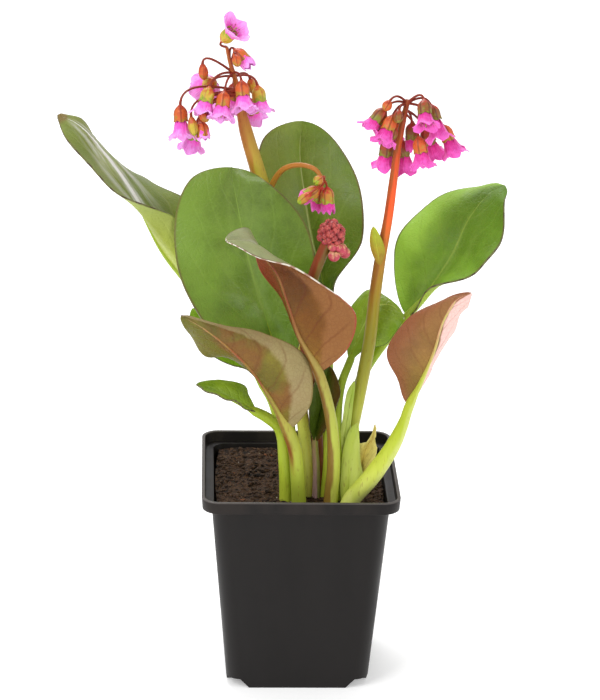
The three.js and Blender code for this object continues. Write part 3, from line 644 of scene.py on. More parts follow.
# The markings of a blade in its own UV map: rib, side veins, margin, and the way along and across it.
MARKS = ("Rib", "Veins", "Margin", "Along", "Across", "Mottle", "Net", "Stain", "Glint")
markings, given, result = new_group("blade markings", {"Rib width": 0.05}, MARKS)
parts = node(markings, "ShaderNodeSeparateXYZ", {0: node(markings, "ShaderNodeUVMap").outputs[0]})
u = sum_up(markings, "MULTIPLY_ADD", parts.outputs[0], 2.0, -1.0)
v = parts.outputs[1]
wide = sum_up(markings, "ABSOLUTE", u)
drift = cloudiness(markings, node(markings, "ShaderNodeUVMap").outputs[0], 5.0)
wobble = sum_up(markings, "MULTIPLY_ADD", drift, 0.5, -0.25)
half_step = times(markings, sum_up(markings, "LESS_THAN", u, 0.0), 0.5)
slanted = sum_up(markings, "SUBTRACT", v, times(markings, wide, SLANT))
line = sum_up(markings, "ADD", sum_up(markings, "MULTIPLY_ADD", slanted, float(PAIRS), wobble), half_step)
near = sum_up(markings, "PINGPONG", line, 0.5)
open_veins = fade(markings, near, 0.01, 0.09, 1, 0)
inside = times(markings, fade(markings, wide, 0.75, 1.0, 1, 0), fade(markings, v, 0.0, 0.12))
narrowing = times(markings, fade(markings, v, 0.0, 1.0, 1.0, 0.3), given.outputs["Rib width"])
rib_edge = sum_up(markings, "DIVIDE", wide, narrowing)
place = object_place(markings)
cells = {"Vector": place, "Scale": 420.0}
net = node(markings, "ShaderNodeTexVoronoi", cells, feature="DISTANCE_TO_EDGE")
cloud = cloudiness(markings, place, 55.0, Detail=5.0, Roughness=0.6)
stain = cloudiness(markings, place, 34.0, Detail=3.0, Distortion=0.6)
# Glint: a painted highlight, pale streaks drawn out beside the rib that stand in for the leaf's gloss.
drawn_out = {0: times(markings, u, 3.6), 1: times(markings, v, 2.0)}
glint_place = node(markings, "ShaderNodeCombineXYZ", drawn_out).outputs[0]
glint_noise = cloudiness(markings, glint_place, 1.6, Detail=4.0)
glint_by_rib = times(markings, fade(markings, wide, 0.05, 0.55, 1, 0), fade(markings, v, 0.95, 0.45))
for label, value in {
    "Stain": fade(markings, stain, 0.42, 0.62),
    "Glint": times(markings, fade(markings, glint_noise, 0.36, 0.68), glint_by_rib),
    "Rib": fade(markings, rib_edge, 0.35, 1.0, 1, 0),
    "Veins": times(markings, open_veins, inside),
    "Margin": fade(markings, wide, 0.96, 0.99),
    "Along": v,
    "Across": u,
    "Mottle": fade(markings, cloud, 0.3, 0.7),
    "Net": fade(markings, net.outputs[0], 0.0, 0.16, 1, 0),
}.items():
    markings.links.new(value, result.inputs[label])


def blade_finish(
    name, low, high, rib, vein, left=None, right=None, patch=None, streak=None, tip=None,
    margin="5b5a2e", gloss=0.38, coat=0.0, net=0.25, rib_wide=0.05, veins=0.16, depth=0.3,
):
    """One face of a blade. low and high are its colours at the stalk and the tip. left and right tint
    its halves: a colour, a share, and how far from the rib the tint starts and is full. patch is one of
    broad uneven stains, streak a painted highlight, pale lengthwise glints beside the rib for the gloss,
    and tip the colour of its very end, each a colour and a share. depth is how dark the fine mottling gets."""
    specular = 0.3 if gloss < 0.4 else 0.2
    material, tree, shader = finish_named(name, gloss, specular=specular, coat=coat, coat_roughness=0.16)
    marks = node(tree, "ShaderNodeGroup")
    marks.node_tree = markings
    marks.inputs["Rib width"].default_value = rib_wide
    out = marks.outputs
    ground = blend(tree, fade(tree, out["Along"], 0.02, 0.85), paint(low), paint(high))
    darker = blend(tree, depth, ground, (0.0, 0.0, 0.0, 1))
    ground = blend(tree, out["Mottle"], darker, ground)
    if patch:
        ground = blend(tree, times(tree, out["Stain"], patch[1]), ground, paint(patch[0]))
    for tint, way in ((left, -1.0), (right, 1.0)):
        if tint:
            colour, strength, start, full = (*tint, 0.1, 0.95)[:4]
            ragged = sum_up(tree, "MULTIPLY_ADD", out["Mottle"], 0.1, times(tree, out["Across"], way))
            share = fade(tree, ragged, start + 0.05, full + 0.05, 0, strength)
            ground = blend(tree, share, ground, paint(colour))
    # The streak is a painted highlight: pale glints beside the rib, standing in for the leaf's gloss.
    if streak:
        ground = blend(tree, times(tree, out["Glint"], streak[1]), ground, paint(streak[0]))
    if tip:
        ground = blend(tree, fade(tree, out["Along"], 0.82, 0.88, 0, tip[1]), ground, paint(tip[0]))
    netted = blend(tree, times(tree, out["Net"], 0.3 * depth), ground, paint(vein))
    veined = blend(tree, times(tree, out["Veins"], veins), netted, paint(vein))
    ribbed = blend(tree, out["Rib"], veined, paint(rib))
    rimmed = blend(tree, times(tree, out["Margin"], 0.75), ribbed, paint(margin))
    tree.links.new(rimmed, shader.inputs["Base Color"])
    tree.links.new(fade(tree, out["Mottle"], 0, 1, gloss - 0.06, gloss + 0.12), shader.inputs["Roughness"])
    relief = sum_up(tree, "MULTIPLY_ADD", out["Net"], -net, times(tree, out["Veins"], -0.35))
    relief = sum_up(tree, "ADD", relief, times(tree, out["Mottle"], 0.6))
    raised(tree, shader, relief, 0.6, 0.0005)
    return material


def edge_finish(name, colour, tooth):
    """The cut edge of a blade, with darker teeth."""
    material, tree, shader = finish_named(name, 0.5)
    way = node(tree, "ShaderNodeSeparateXYZ", {0: node(tree, "ShaderNodeUVMap").outputs[0]}).outputs[1]
    teeth = fade(tree, sum_up(tree, "PINGPONG", times(tree, way, TEETH), 0.5), 0.1, 0.28, 1, 0)
    tree.links.new(blend(tree, teeth, paint(colour), paint(tooth)), shader.inputs["Base Color"])
    return material


def stem_finish(name, steps, streak, low, high, side=None, streaks=0.4):
    """A fleshy stalk whose colour changes with height, from low to high in mm, through the given
    colours, with lengthwise streaks. side is the colour of its flank, -1 for the left and 1 for the
    right, how strong it is, and from which share of the height on it shows."""
    material, tree, shader = finish_named(name, 0.4, specular=0.28)
    height = node(tree, "ShaderNodeSeparateXYZ", {0: object_place(tree)}).outputs[2]
    share = node(tree, "ShaderNodeMapRange", {0: height, 1: low * MM, 2: high * MM}).outputs[0]
    ramp = node(tree, "ShaderNodeValToRGB", {0: share})
    while len(ramp.color_ramp.elements) < len(steps):
        ramp.color_ramp.elements.new(0.5)
    for i, (step, colour) in enumerate(zip(ramp.color_ramp.elements, steps)):
        step.position = i / (len(steps) - 1)
        step.color = paint(colour)
    marks = grained(tree, 190, 0.14)
    ground = ramp.outputs[0]
    if side:
        tint, way, strength, start = (*side, -0.2)[:4]
        facing = node(
            tree, "ShaderNodeSeparateXYZ", {0: node(tree, "ShaderNodeNewGeometry").outputs["Normal"]}
        )
        turned = sum_up(
            tree, "MULTIPLY_ADD", marks["Mottle"], 0.35, times(tree, facing.outputs[0], float(way))
        )
        flank = times(tree, fade(tree, turned, 0.1, 0.6, 0, strength), fade(tree, share, start, start + 0.15))
        ground = blend(tree, flank, ground, paint(tint))
    streaked = blend(tree, times(tree, marks["Mottle"], streaks), ground, paint(streak))
    speckled = blend(tree, times(tree, marks["Specks"], 0.3), streaked, paint("7a3b1c"))
    tree.links.new(speckled, shader.inputs["Base Color"])
    raised(tree, shader, marks["Mottle"], 0.3, 0.0004)
    return material


# The streak colours below are painted highlights: pale glints beside the rib for the leaves' gloss.
GREEN = blade_finish(
    "leaf above, green", "7ba531", "6c862e", "7f9a3c", "84a03c", left=("7c9c30", 0.35), patch=("6d8a2a", 0.6),
    streak=("93aa52", 0.4), margin="6a5a2c", gloss=0.34, coat=0.2, rib_wide=0.035, depth=0.4,
)
GREEN_SOFT = blade_finish(
    "leaf above, softer green", "5f7f1e", "7c942c", "b6c47a", "93a84c", right=("5d7a1e", 0.5),
    left=("8a9a34", 0.4),
    patch=("82963a", 0.5), streak=("a3b56a", 0.3), margin="6a4c2c", gloss=0.37, coat=0.06, depth=0.35,
)
GREEN_CLEAR = blade_finish(
    "leaf above, clear green", "86b22e", "668c20", "86a23a", "7f9e34", left=("a0cc48", 0.8, 0.2, 0.9),
    patch=("5c8218", 0.5), streak=("a5c060", 0.25), margin="5a4a30", gloss=0.46, rib_wide=0.035, depth=0.35,
)
# Painted sheen: the pale grey-green, whitish rib and near-white streak stand in for light glancing off these
# upper sides.
GREEN_SHEENED = blade_finish(
    "leaf above, pale with painted sheen", "8a9a4c", "a3a878", "c9ccb4", "a3ac70", streak=("e6e6da", 0.9),
    patch=("8f9a5c", 0.5),
    margin="6a4a3c", gloss=0.36, coat=0.15,
)
# Painted highlight: white streaks and a near-white rib stand in for the gloss along this leaf's rib.
GREEN_GLINTED = blade_finish(
    "leaf above, with painted glints", "7d9630", "8f9850", "eceee6", "a3ac6c", streak=("ffffff", 1.0),
    patch=("6b7f26", 0.5), tip=("84683e", 0.85), margin="5f4a2a", gloss=0.35, coat=0.12, rib_wide=0.08,
)
GREEN_BRIGHT = blade_finish(
    "young leaf above", "9cbe26", "90ae2c", "b6cc58", "a3c040", patch=("6c9418", 0.6), streak=("c0d86a", 0.3),
    margin="4a5a1c", gloss=0.36, coat=0.15,
)
GREEN_DARK = blade_finish(
    "small leaf above", "44590c", "4a5c12", "5f7426", "56691c", right=("5a3c0c", 0.9), margin="4a2c0c",
    gloss=0.4
)
UNDER_PALE = blade_finish(
    "leaf below, pale green", "a8c23c", "a3b84a", "dbe68a", "c3d66a", gloss=0.5, net=0.5
)
UNDER_LIME = blade_finish(
    "leaf below, lime", "a8b32a", "97a648", "d3df50", "bcc866", left=("a9b664", 0.7), streak=("cdd68c", 0.7),
    margin="7a8a3c", gloss=0.5, net=0.4,
)
UNDER_RED = blade_finish(
    "leaf below, red-brown", "8f6a26", "7a3a1a", "8f4226", "6a3018", left=("9c6a3e", 0.7, 0.42, 0.6),
    right=("7f2f18", 0.8, 0.0, 0.6), patch=("78481a", 0.75), margin="a8483a", gloss=0.45, net=0.4,
    rib_wide=0.045,
    veins=0.35, depth=0.42,
)
UNDER_OLIVE = blade_finish(
    "leaf below, olive and red-brown", "8a7a26", "7f7a34", "c9a070", "6a3a1c",
    left=("a6966a", 0.8, 0.5, 0.64),
    right=("6c6c20", 0.85, 0.0, 0.3), patch=("85502c", 0.7), margin="7a6a34", gloss=0.45, net=0.4,
    rib_wide=0.04,
    veins=0.3, depth=0.42,
)
UNDER_PINK = blade_finish(
    "leaf below, olive to pink", "8f7c22", "c08060", "e0a890", "7a4a2a", left=("ffd0c8", 0.95, 0.04, 0.16),
    right=("985a40", 0.75, 0.2, 0.9), patch=("84622c", 0.6), margin="8a4438", gloss=0.45, net=0.4,
    rib_wide=0.04,
    veins=0.3, depth=0.42,
)
EDGE_GREEN = edge_finish("leaf edge, green", "6b6a38", "4a3a22")
EDGE_PALE = edge_finish("leaf edge, pale", "ece4d6", "b08a78")
EDGE_RED = edge_finish("leaf edge, red", "7a3c2c", "54302a")
STALK_PALE = stem_finish(
    "leaf stalk, pale with a brown side",
    ["c9d458", "bcc84c", "aeb44a", "a08a44", "8c4426", "7d341c", "6f2c18"],
    "a8944a", low=110, high=290, side=("7a4e1a", -1, 0.9), streaks=0.2,
)
STALK_GREEN = stem_finish(
    "leaf stalk, green", ["c3d040", "adc032", "96b02a", "a3b83a"], "93a82a", low=110, high=230
)
STALK_LIME = stem_finish(
    "leaf stalk, lime", ["dbe27a", "ccd650", "b0c028", "b0b43c", "c9986a", "dba986"], "b3c432", low=110,
    high=240,
    side=("dde48c", 1, 0.6),
)
STALK_OLIVE = stem_finish(
    "leaf stalk, pale with a red upper part", ["a6b436", "b3c044", "b0a846", "93502c", "9c4a30", "c79a68"],
    "98a638", low=110, high=240, side=("84401e", -1, 0.95, 0.12),
)
STALK_SMALL = stem_finish(
    "small leaf stalk, pinkish", ["d6aeb0", "cfa8a2", "a8925a", "55701f"], "8a5a50", low=105, high=160,
    side=("8aa82c", 1, 0.8),
)
STALK_WEB = stem_finish(
    "pale sheath", ["bcc84c", "c9d562", "bccc52", "9fb83a"], "d8e088", low=108, high=165, streaks=0.35
)

LEAVES = {
    "leaf_front_centre": dict(
        stalk=[[17, -32, 114], [18, -34, 134], [16, -38, 161]],
        rib=[
            [8, -42, 193], [-3, -46, 214], [-10, -50, 235], [-16, -55, 253], [-28, -68, 271], [-43, -86, 280]
        ],
        left=[[23, -41, 205], [28, -40, 224], [4, -44, 246], [-25, -82, 270]],
        right=[[1, -38, 203], [-8, -35, 222], [-22, -35, 246], [-32, -56, 277]],
        radii=[[0, 4.2], [0.3, 3.3], [0.6, 2.8], [1, 0.8]],
        camber=([-0.1, 0.3], [-0.1, 0.1]), look=(GREEN_SHEENED, UNDER_RED, EDGE_PALE, STALK_PALE),
    ),
    "leaf_front_right": dict(
        stalk=[[28, -36, 114], [38, -38, 128], [49, -41, 147], [55, -44, 163]],
        rib=[[58, -46, 175], [64, -48, 190], [70, -50, 208], [74, -52, 225], [80, -53, 237], [88, -54, 242]],
        left=[[67, -40, 189], [76, -33, 204], [83, -36, 219], [87, -46, 232]],
        right=[[51, -38, 188], [46, -34, 203], [55, -34, 218], [72, -42, 233]],
        radii=[[0, 5], [0.25, 5], [0.4, 4], [0.5, 2.8], [0.7, 2.4], [1, 0.8]],
        camber=([-0.1, -0.05], [-0.1, -0.05]), look=(GREEN_SHEENED, UNDER_PINK, EDGE_RED, STALK_LIME),
        sheath=dict(
            rib=[
                [27, -31, 106], [27, -30.5, 120], [27, -30, 132], [28, -29, 142], [30, -27, 150],
                [31, -26, 156]
            ],
            left=[[22.6, -31, 114], [22.6, -30, 128], [23.5, -29, 142], [27, -27, 153]],
            right=[[32, -32, 113], [35, -31, 122], [33, -29, 134], [32, -27, 148]],
            camber=([0.1, 0.1], [0.1, 0.1]), wave=0.3, relief=0.4,
        ),
    ),
    "leaf_front_left": dict(
        stalk=[[-1, -33, 113], [-2.5, -36, 134], [-4, -38, 146]],
        rib=[
            [-8, -41, 159], [-23, -51, 189], [-33, -59, 204], [-45, -67, 218], [-55, -76, 229],
            [-66, -86, 239]
        ],
        left=[[4, -46, 176], [1, -43, 201], [-22, -48, 216], [-44, -64, 226]],
        right=[[-18, -38, 180], [-34, -39, 197], [-52, -52, 205], [-61, -68, 221]],
        radii=[[0, 4.2], [0.35, 3.9], [0.6, 2.4], [1, 0.8]],
        camber=([-0.12, -0.05], [-0.08, -0.05]), look=(GREEN_SHEENED, UNDER_OLIVE, EDGE_RED, STALK_OLIVE),
    ),
    "leaf_low_left": dict(
        stalk=[[-8, -29, 112], [-9, -30, 134], [-12, -31, 154], [-19, -34, 162]],
        rib=[
            [-25, -37, 167], [-32, -41, 172], [-39, -45, 177], [-45, -49, 182], [-52, -53, 186],
            [-58, -57, 190]
        ],
        left=[[-31, -46, 172], [-38, -56, 180], [-45, -60, 184], [-52, -60, 187]],
        right=[[-29, -36, 174], [-31, -35, 180], [-38, -39, 185], [-48, -45, 188]],
        radii=[[0, 3.8], [0.3, 3.6], [0.6, 3], [0.8, 1.8], [1, 0.8]],
        camber=([0.05, 0.05], [0.05, 0.05]), wave=0.6,
        look=(GREEN_BRIGHT, UNDER_PALE, EDGE_GREEN, STALK_GREEN),
    ),
    "leaf_inner_right": dict(
        stalk=[[22, -26, 113], [21, -25, 135], [20, -22, 159], [22, -18, 176]],
        rib=[[27, -12, 189], [31, -9, 200], [36, -7, 210], [42, -6, 218], [49, -8, 219], [56, -12, 214]],
        left=[[26, -3, 198], [28, 7, 212], [36, 8, 222], [45, 2, 222]],
        right=[[36, -12, 195], [47, -12, 198], [51, -12, 204], [55, -12, 210]],
        radii=[[0, 3.4], [0.4, 2.6], [0.8, 2], [1, 1]],
        camber=([0.08, 0.08], [0.08, 0.08]), wave=0.6,
        look=(GREEN_BRIGHT, UNDER_PALE, EDGE_PALE, STALK_GREEN),
        sheath=dict(
            rib=[
                [23, -25, 108], [23.5, -25, 130], [24, -25, 145], [25, -24.5, 158], [27, -24, 170],
                [28.6, -24, 180]
            ],
            left=[[20.5, -26, 118], [21, -25.5, 136], [22.5, -25, 155], [25, -24.5, 174]],
            right=[[26, -25.5, 118], [26.5, -25, 136], [27.1, -24.5, 154], [28.8, -24, 172]],
            camber=([0.1, 0.1], [0.1, 0.1]), wave=0.3, relief=0.4,
        ),
    ),
    "leaf_inner_small": dict(
        stalk=[[9, -24, 110], [9, -23, 127]],
        rib=[[8, -21, 143], [9, -20, 153], [11, -19, 162], [12, -18, 171], [14, -17, 179], [15, -16, 186]],
        left=[[5, -24, 151], [4, -25, 163], [6, -23, 176], [10, -19, 184]],
        right=[[14, -26, 153], [19, -26, 165], [21, -25, 173], [19, -21, 182]],
        radii=[[0, 2.4], [0.4, 1.9], [0.6, 1.5], [1, 0.6]],
        camber=([0.05, 0.05], [0.05, 0.05]), wave=0.4,
        look=(GREEN_DARK, GREEN_DARK, EDGE_GREEN, STALK_SMALL),
        shoot=dict(
            points=[[13.5, -23.5, 112], [14.5, -23, 132], [14, -24, 157]],
            radii=[[0, 2.2], [0.7, 1.7], [1, 0.8]]
        ),
    ),
    "leaf_big": dict(
        stalk=[[-2, -9, 108], [-5, -9, 139], [-8, -10, 161]],
        rib=[[-11, -11, 177], [-16, -10, 198], [-24, -6, 222], [-31, -1, 248], [-37, 6, 276], [-40, 11, 292]],
        left=[[-44, -33, 204], [-67, -12, 234], [-70, 4, 268], [-61, 8, 287]],
        right=[[-1, -18, 201], [7, -11, 232], [2, -5, 262], [-19, 1, 286]],
        radii=[[0, 3.6], [0.3, 3.2], [0.6, 2.6], [1, 0.8]],
        camber=([0.05, 0.06], [0.05, 0.06]), look=(GREEN, UNDER_PALE, EDGE_GREEN, STALK_GREEN),
    ),
    "leaf_low_back": dict(
        stalk=[[-6, -17, 114], [-9, -15, 136], [-13, -12, 152], [-17, -8, 163]],
        rib=[[-22, -4, 170], [-30, 2, 181], [-39, 7, 189], [-48, 11, 196], [-55, 14, 203], [-61, 16, 208]],
        left=[[-28, -5, 179], [-39, -5, 182], [-54, -2, 191], [-62, 9, 200]],
        right=[[-22, -6, 191], [-30, -4, 202], [-40, 4, 207], [-53, 13, 210]],
        radii=[[0, 2.6], [0.4, 2.2], [0.7, 1.7], [1, 0.6]],
        camber=([0.05, 0.05], [0.05, 0.05]), wave=0.6,
        look=(GREEN_BRIGHT, UNDER_PALE, EDGE_GREEN, STALK_GREEN),
    ),
    "leaf_right": dict(
        stalk=[[28, -8, 112], [29, -7, 145], [33, -5, 173], [45, -3, 194]],
        rib=[[59, -1, 211], [73, 3, 228], [84, 8, 245], [92, 13, 262], [103, 18, 275], [112, 21, 280]],
        left=[[52, 22, 233], [56, 26, 251], [73, 35, 266], [96, 32, 276]],
        right=[[71, -10, 230], [95, -17, 242], [107, -11, 256], [111, 3, 275]],
        radii=[[0, 3.6], [0.3, 3], [0.7, 2.5], [1, 0.8]],
        camber=([0.05, 0.06], [-0.25, 0.12]), look=(GREEN_CLEAR, UNDER_PALE, EDGE_GREEN, STALK_GREEN),
    ),
    "leaf_back": dict(
        stalk=[[14, -6, 111], [14, 2, 141], [16, 14, 179]],
        rib=[[16, 22, 201], [12, 28, 225], [6, 34, 246], [2, 42, 267], [-1, 50, 290], [0, 55, 307]],
        left=[[-7, 22, 219], [-21, 25, 241], [-27, 31, 269], [-21, 42, 301]],
        right=[[20, 18, 225], [34, 19, 249], [32, 30, 276], [16, 51, 300]],
        radii=[[0, 3.6], [0.3, 3.2], [0.7, 2.5], [1, 0.8]],
        camber=([0.05, 0.06], [0.05, 0.06]), look=(GREEN_SOFT, UNDER_PALE, EDGE_GREEN, STALK_GREEN),
    ),
    "leaf_far_left": dict(
        stalk=[[-4, 2, 112], [-8, 8, 140], [-16, 14, 165], [-34, 18, 191]],
        rib=[[-57, 18, 216], [-77, 14, 242], [-94, 9, 277], [-110, 6, 302], [-123, 4, 317], [-134, 2, 323]],
        left=[[-65, 11, 259], [-86, -6, 274], [-108, -14, 290], [-129, -5, 312]],
        right=[[-57, 33, 260], [-85, 40, 275], [-105, 28, 288], [-123, 9, 319]],
        radii=[[0, 3.6], [0.3, 3.2], [0.7, 2.5], [1, 0.8]],
        camber=([-0.5, 0.1], [0.05, 0.1]), look=(GREEN_GLINTED, UNDER_LIME, EDGE_GREEN, STALK_GREEN),
    ),
}


def rib_radii(shape, track):
    """The stalk's radii, thinned quickly where it runs on as the rib under the blade."""
    start = Vector(shape["rib"][0])
    begin = min(range(len(track)), key=lambda i: (track[i] - start).length) / (len(track) - 1)
    stalk_part = [(share, radius) for share, radius in shape["radii"] if share < begin]
    thick = along(shape["radii"], begin)
    rest = 1 - begin
    return [
        *stalk_part, (begin, thick), (begin + 0.15 * rest, 0.55 * thick), (begin + 0.4 * rest, 0.8), (1, 0.4)
    ]


for name, shape in LEAVES.items():
    upper, lower, edge, stem = shape["look"]
    parts = [lay_blade(name, shape, (upper, lower, edge))]
    track = Rail([*rooted(shape["stalk"]), *under_rib(shape)]).spaced(64)
    tube = strand(name + "_stalk", track, rib_radii(shape, track), 5)
    tube.data.materials.append(stem)
    parts.append(tube)
    if "sheath" in shape:
        parts.append(lay_blade(name + "_sheath", shape["sheath"], (STALK_WEB,) * 3, 14, 40))
    if "shoot" in shape:
        shoot = strand(
            name + "_shoot", Rail(rooted(shape["shoot"]["points"])).spaced(24), shape["shoot"]["radii"], 4
        )
        shoot.data.materials.append(STALK_GREEN)
        parts.append(shoot)
    leaf = join(parts, name + "_grown")
    smooth(leaf, 60)
    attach(leaf, "root")
    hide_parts(name)

# Flower stalks
# Three round fleshy stalks rise from the rootstock. The left one is yellow-green with an orange side
# and carries a small nodding branch, the right one turns from green to red, and the third is in bud.
LEFT_STALK = [
    [4, -20, 112], [3, -17, 136], [0, -6, 162], [-5, 10, 198], [-14.5, 18, 242], [-24, 18, 284],
    [-30.5, 16, 306], [-34.5, 14, 322], [-37, 12, 337], [-41, 10, 351], [-43, 9, 360],
]
LEFT_RADII = [[0, 3.6], [0.4, 3.3], [0.7, 4.4], [0.82, 3.7], [0.89, 1.7], [1, 0.9]]
NODDING_BRANCH = [[-20, 18, 268], [-17, 14, 282], [-11, 9, 292], [-2, 3, 296], [6, -3, 295], [10, -7, 290]]
RIGHT_STALK = [
    [25, -19, 114], [27.5, -18, 143], [31.5, -17, 166], [37, -18, 202], [39, -18, 226], [41.5, -18, 249],
    [45, -18, 271], [47.5, -17, 294], [49.5, -16, 312], [52, -16, 328], [54, -16, 338],
]
RIGHT_RADII = [[0, 3.8], [0.2, 3.7], [0.45, 3.5], [0.62, 3.1], [0.7, 2.6], [0.85, 2.2], [1, 1.4]]
BUD_STALK = [
    [10, -12, 111], [10, -9, 134], [8, -12, 160], [2, -24, 196], [1, -27, 222], [4, -29, 240], [9, -30, 255],
]
STALK_LEFT = stem_finish(
    "flower stalk, yellow-green with an orange side",
    ["d6de62", "d2d858", "c9c84c", "d6cc56", "d2ce50", "ccc24c", "b5702e", "a0482a"],
    "d0a44c", low=110, high=355, side=("b8682a", -1, 0.75, 0.3), streaks=0.15,
)
STALK_RIGHT = stem_finish(
    "flower stalk, green to red",
    ["d6e064", "c9d25a", "b4b842", "a29e30", "9c8e28", "b87a2a", "ff5c28", "e4542c", "a44e30"],
    "a8862c", low=110, high=335, side=("8f4a20", -1, 0.75, 0.42), streaks=0.2,
)
STALK_ARCH = stem_finish("flower branch, orange", ["b8923a", "c08a34", "b8702c"], "a8702a", low=265, high=300)
STALK_BUD = stem_finish(
    "flower stalk, red-brown", ["a0623c", "a04c34", "8a5a28", "8a6a26", "84702c"], "6c3a20", low=110,
    high=262, side=("9c3c24", -1, 0.9)
)
THIN_STALK = stem_finish(
    "thin flower stalk, dark red", ["b5502a", "9a3a24", "8a3524"], "6a241a", low=270, high=360
)

stem_left = strand("stalk", Rail(rooted(LEFT_STALK)).spaced(70), LEFT_RADII, 6)
stem_left.data.materials.append(STALK_LEFT)
arch = strand("arch", Rail(NODDING_BRANCH).spaced(30), [[0, 1.9], [0.5, 1.5], [1, 1.2]], 4)
arch.data.materials.append(STALK_ARCH)
stem_right = strand("stalk", Rail(rooted(RIGHT_STALK)).spaced(70), RIGHT_RADII, 6)
stem_right.data.materials.append(STALK_RIGHT)

# Calyces and pedicels
# Each flower hangs from a thin red pedicel in a cup of five joined sepals, orange at the foot and
# yellow-green towards its blunt teeth. A bud is a cup that is still shut.
LEFT_FLOWERS = [
    ["open", [-46, 8, 363], [-37, 3, 373], 359],
    ["half", [-39, 9, 359], [-30, 3, 350], 352],
    ["bud", [-38, 3, 357], [-37, -2, 352], 350],
    ["bud", [-56, 11, 350], [-55, 11, 341], 346],
    ["open", [-50, 12, 341], [-55, 22, 333], 344],
    ["bell", [-52, 1, 340], [-56, -5, 325], 346],
    ["bell", [-44, 0, 338], [-46, -7, 323], 345],
    ["bell", [-39, 17, 338], [-38, 22, 322], 342],
    ["bell", [-35, 4, 343], [-33, -3, 327], 346],
    ["bell", [-26, 13, 338], [-24, 10, 323], 343],
    ["bud", [-30, 19, 340], [-28, 22, 331], 343],
    ["bell", [-44, 22, 331], [-45, 30, 318], 336],
    ["bell", [-30, 21, 328], [-27, 29, 315], 335],
    ["bell", [-68, 8, 328], [-67, 5, 309], 334],
    ["bud", [-62, 1, 323], [-60, -1, 313], 333],
    ["bell", [-59, 14, 316], [-62, 16, 300], 332],
    ["bud", [-57, -2, 327], [-53, -5, 322], 334],
    ["half", [-57, 5, 320], [-55, 1, 310], 333],
]
RIGHT_FLOWERS = [
    ["bell", [42, -18, 334], [33, -21, 322], 337],
    ["bell", [46, -21, 331], [40, -27, 316], 336],
    ["bell", [44, -12, 315], [43, -10, 298], 326],
    ["bell", [52, -5, 313], [55, -2, 294], 328],
    ["bell", [60, -20, 319], [63, -24, 302], 330],
    ["bell", [62, -22, 340], [63, -32, 326], 337],
    ["bell", [66, -17, 336], [72, -23, 317], 337],
    ["bell", [73, -14, 324], [81, -16, 307], 336],
    ["bell", [64, -8, 320], [71, -3, 303], 333],
    ["half", [57, -10, 324], [58, -9, 308], 332],
    ["bud", [44, -22, 339], [41, -24, 334], 337],
    ["bud", [49, -23, 334], [48, -27, 328], 335],
    ["bud", [47, -23, 325], [45, -25, 318], 330],
    ["bell", [52, -4, 327], [47, 5, 309], 332],
]
NODDING_FLOWERS = [
    ["half", [8, -10, 287], [-2, -13, 281], 290],
    ["half", [12, -8, 287], [13, -9, 272], 290],
    ["half", [9, -3, 286], [7, 0, 271], 290],
    ["bud", [9, -11, 293], [5, -15, 291], 290],
    ["bud", [3, -17, 286], [-4, -20, 281], 290],
]


def turned_cup(name, rings, sides):
    """A cup raised ring by ring from a circle, each ring extruded from the last and resized."""
    bpy.ops.object.select_all(action="DESELECT")
    (start, width), *others = rings
    bpy.ops.mesh.primitive_circle_add(vertices=sides, radius=width, location=(0, 0, start), fill_type="NGON")
    cup = bpy.context.object
    cup.name = name
    bpy.ops.object.transform_apply(location=True, rotation=False, scale=False)
    bpy.ops.object.mode_set(mode="EDIT")
    pick(cup, "edges", lambda edge: edge.is_boundary)
    for (low, before), (high, after) in zip(rings, others):
        bpy.ops.mesh.extrude_edges_move(TRANSFORM_OT_translate={"value": (0, 0, high - low)})
        bpy.ops.transform.resize(value=(after / before, after / before, 1), center_override=(0, 0, high))
    bpy.ops.mesh.select_all(action="SELECT")
    bpy.ops.mesh.normals_make_consistent(inside=False)
    bpy.ops.object.mode_set(mode="OBJECT")
    return cup


def map_along(piece, start, length):
    """Gives a turned piece a map: the way around it, and the way along it."""
    layer = piece.data.uv_layers.active or piece.data.uv_layers.new(name="UVMap")
    for loop in piece.data.loops:
        place = piece.data.vertices[loop.vertex_index].co
        around = math.atan2(place.y, place.x) / math.tau + 0.5
        layer.data[loop.index].uv = (around, (place.z - start) / length)


calyx_form = turned_cup(
    "calyx_form",
    [
        (0, 0.8), (0.5, 1.15), (1.3, 2.1), (2.4, 3.1), (3.8, 3.75), (5.4, 3.95), (6.8, 3.85), (8, 3.9),
        (8.9, 4.1)
    ],
    30,
)
for point in calyx_form.data.vertices:
    x, y, z = point.co
    around = math.atan2(y, x)
    groove = abs(math.sin(2.5 * around))
    swell = 1 - 0.1 * (1 - groove) ** 2 * min(1, z / 3)
    tooth = (groove**0.6 - 0.75) * 1.6 * max(0, (z - 6) / 3) ** 1.5
    point.co = (x * swell, y * swell, z + tooth)
apply(calyx_form, "SOLIDIFY", thickness=0.45, offset=-1)
map_along(calyx_form, 0, 9)
shut_form = turned_cup(
    "shut_form", [(0, 0.8), (0.5, 1.5), (1.7, 2.4), (3.2, 2.8), (4.6, 2.4), (5.6, 1.4), (6, 0.4)], 20
)
for point in shut_form.data.vertices:
    x, y, z = point.co
    swell = 1 - 0.12 * (1 - abs(math.sin(2.5 * math.atan2(y, x)))) ** 2
    point.co = (x * swell, y * swell, z)
map_along(shut_form, 0, 6)


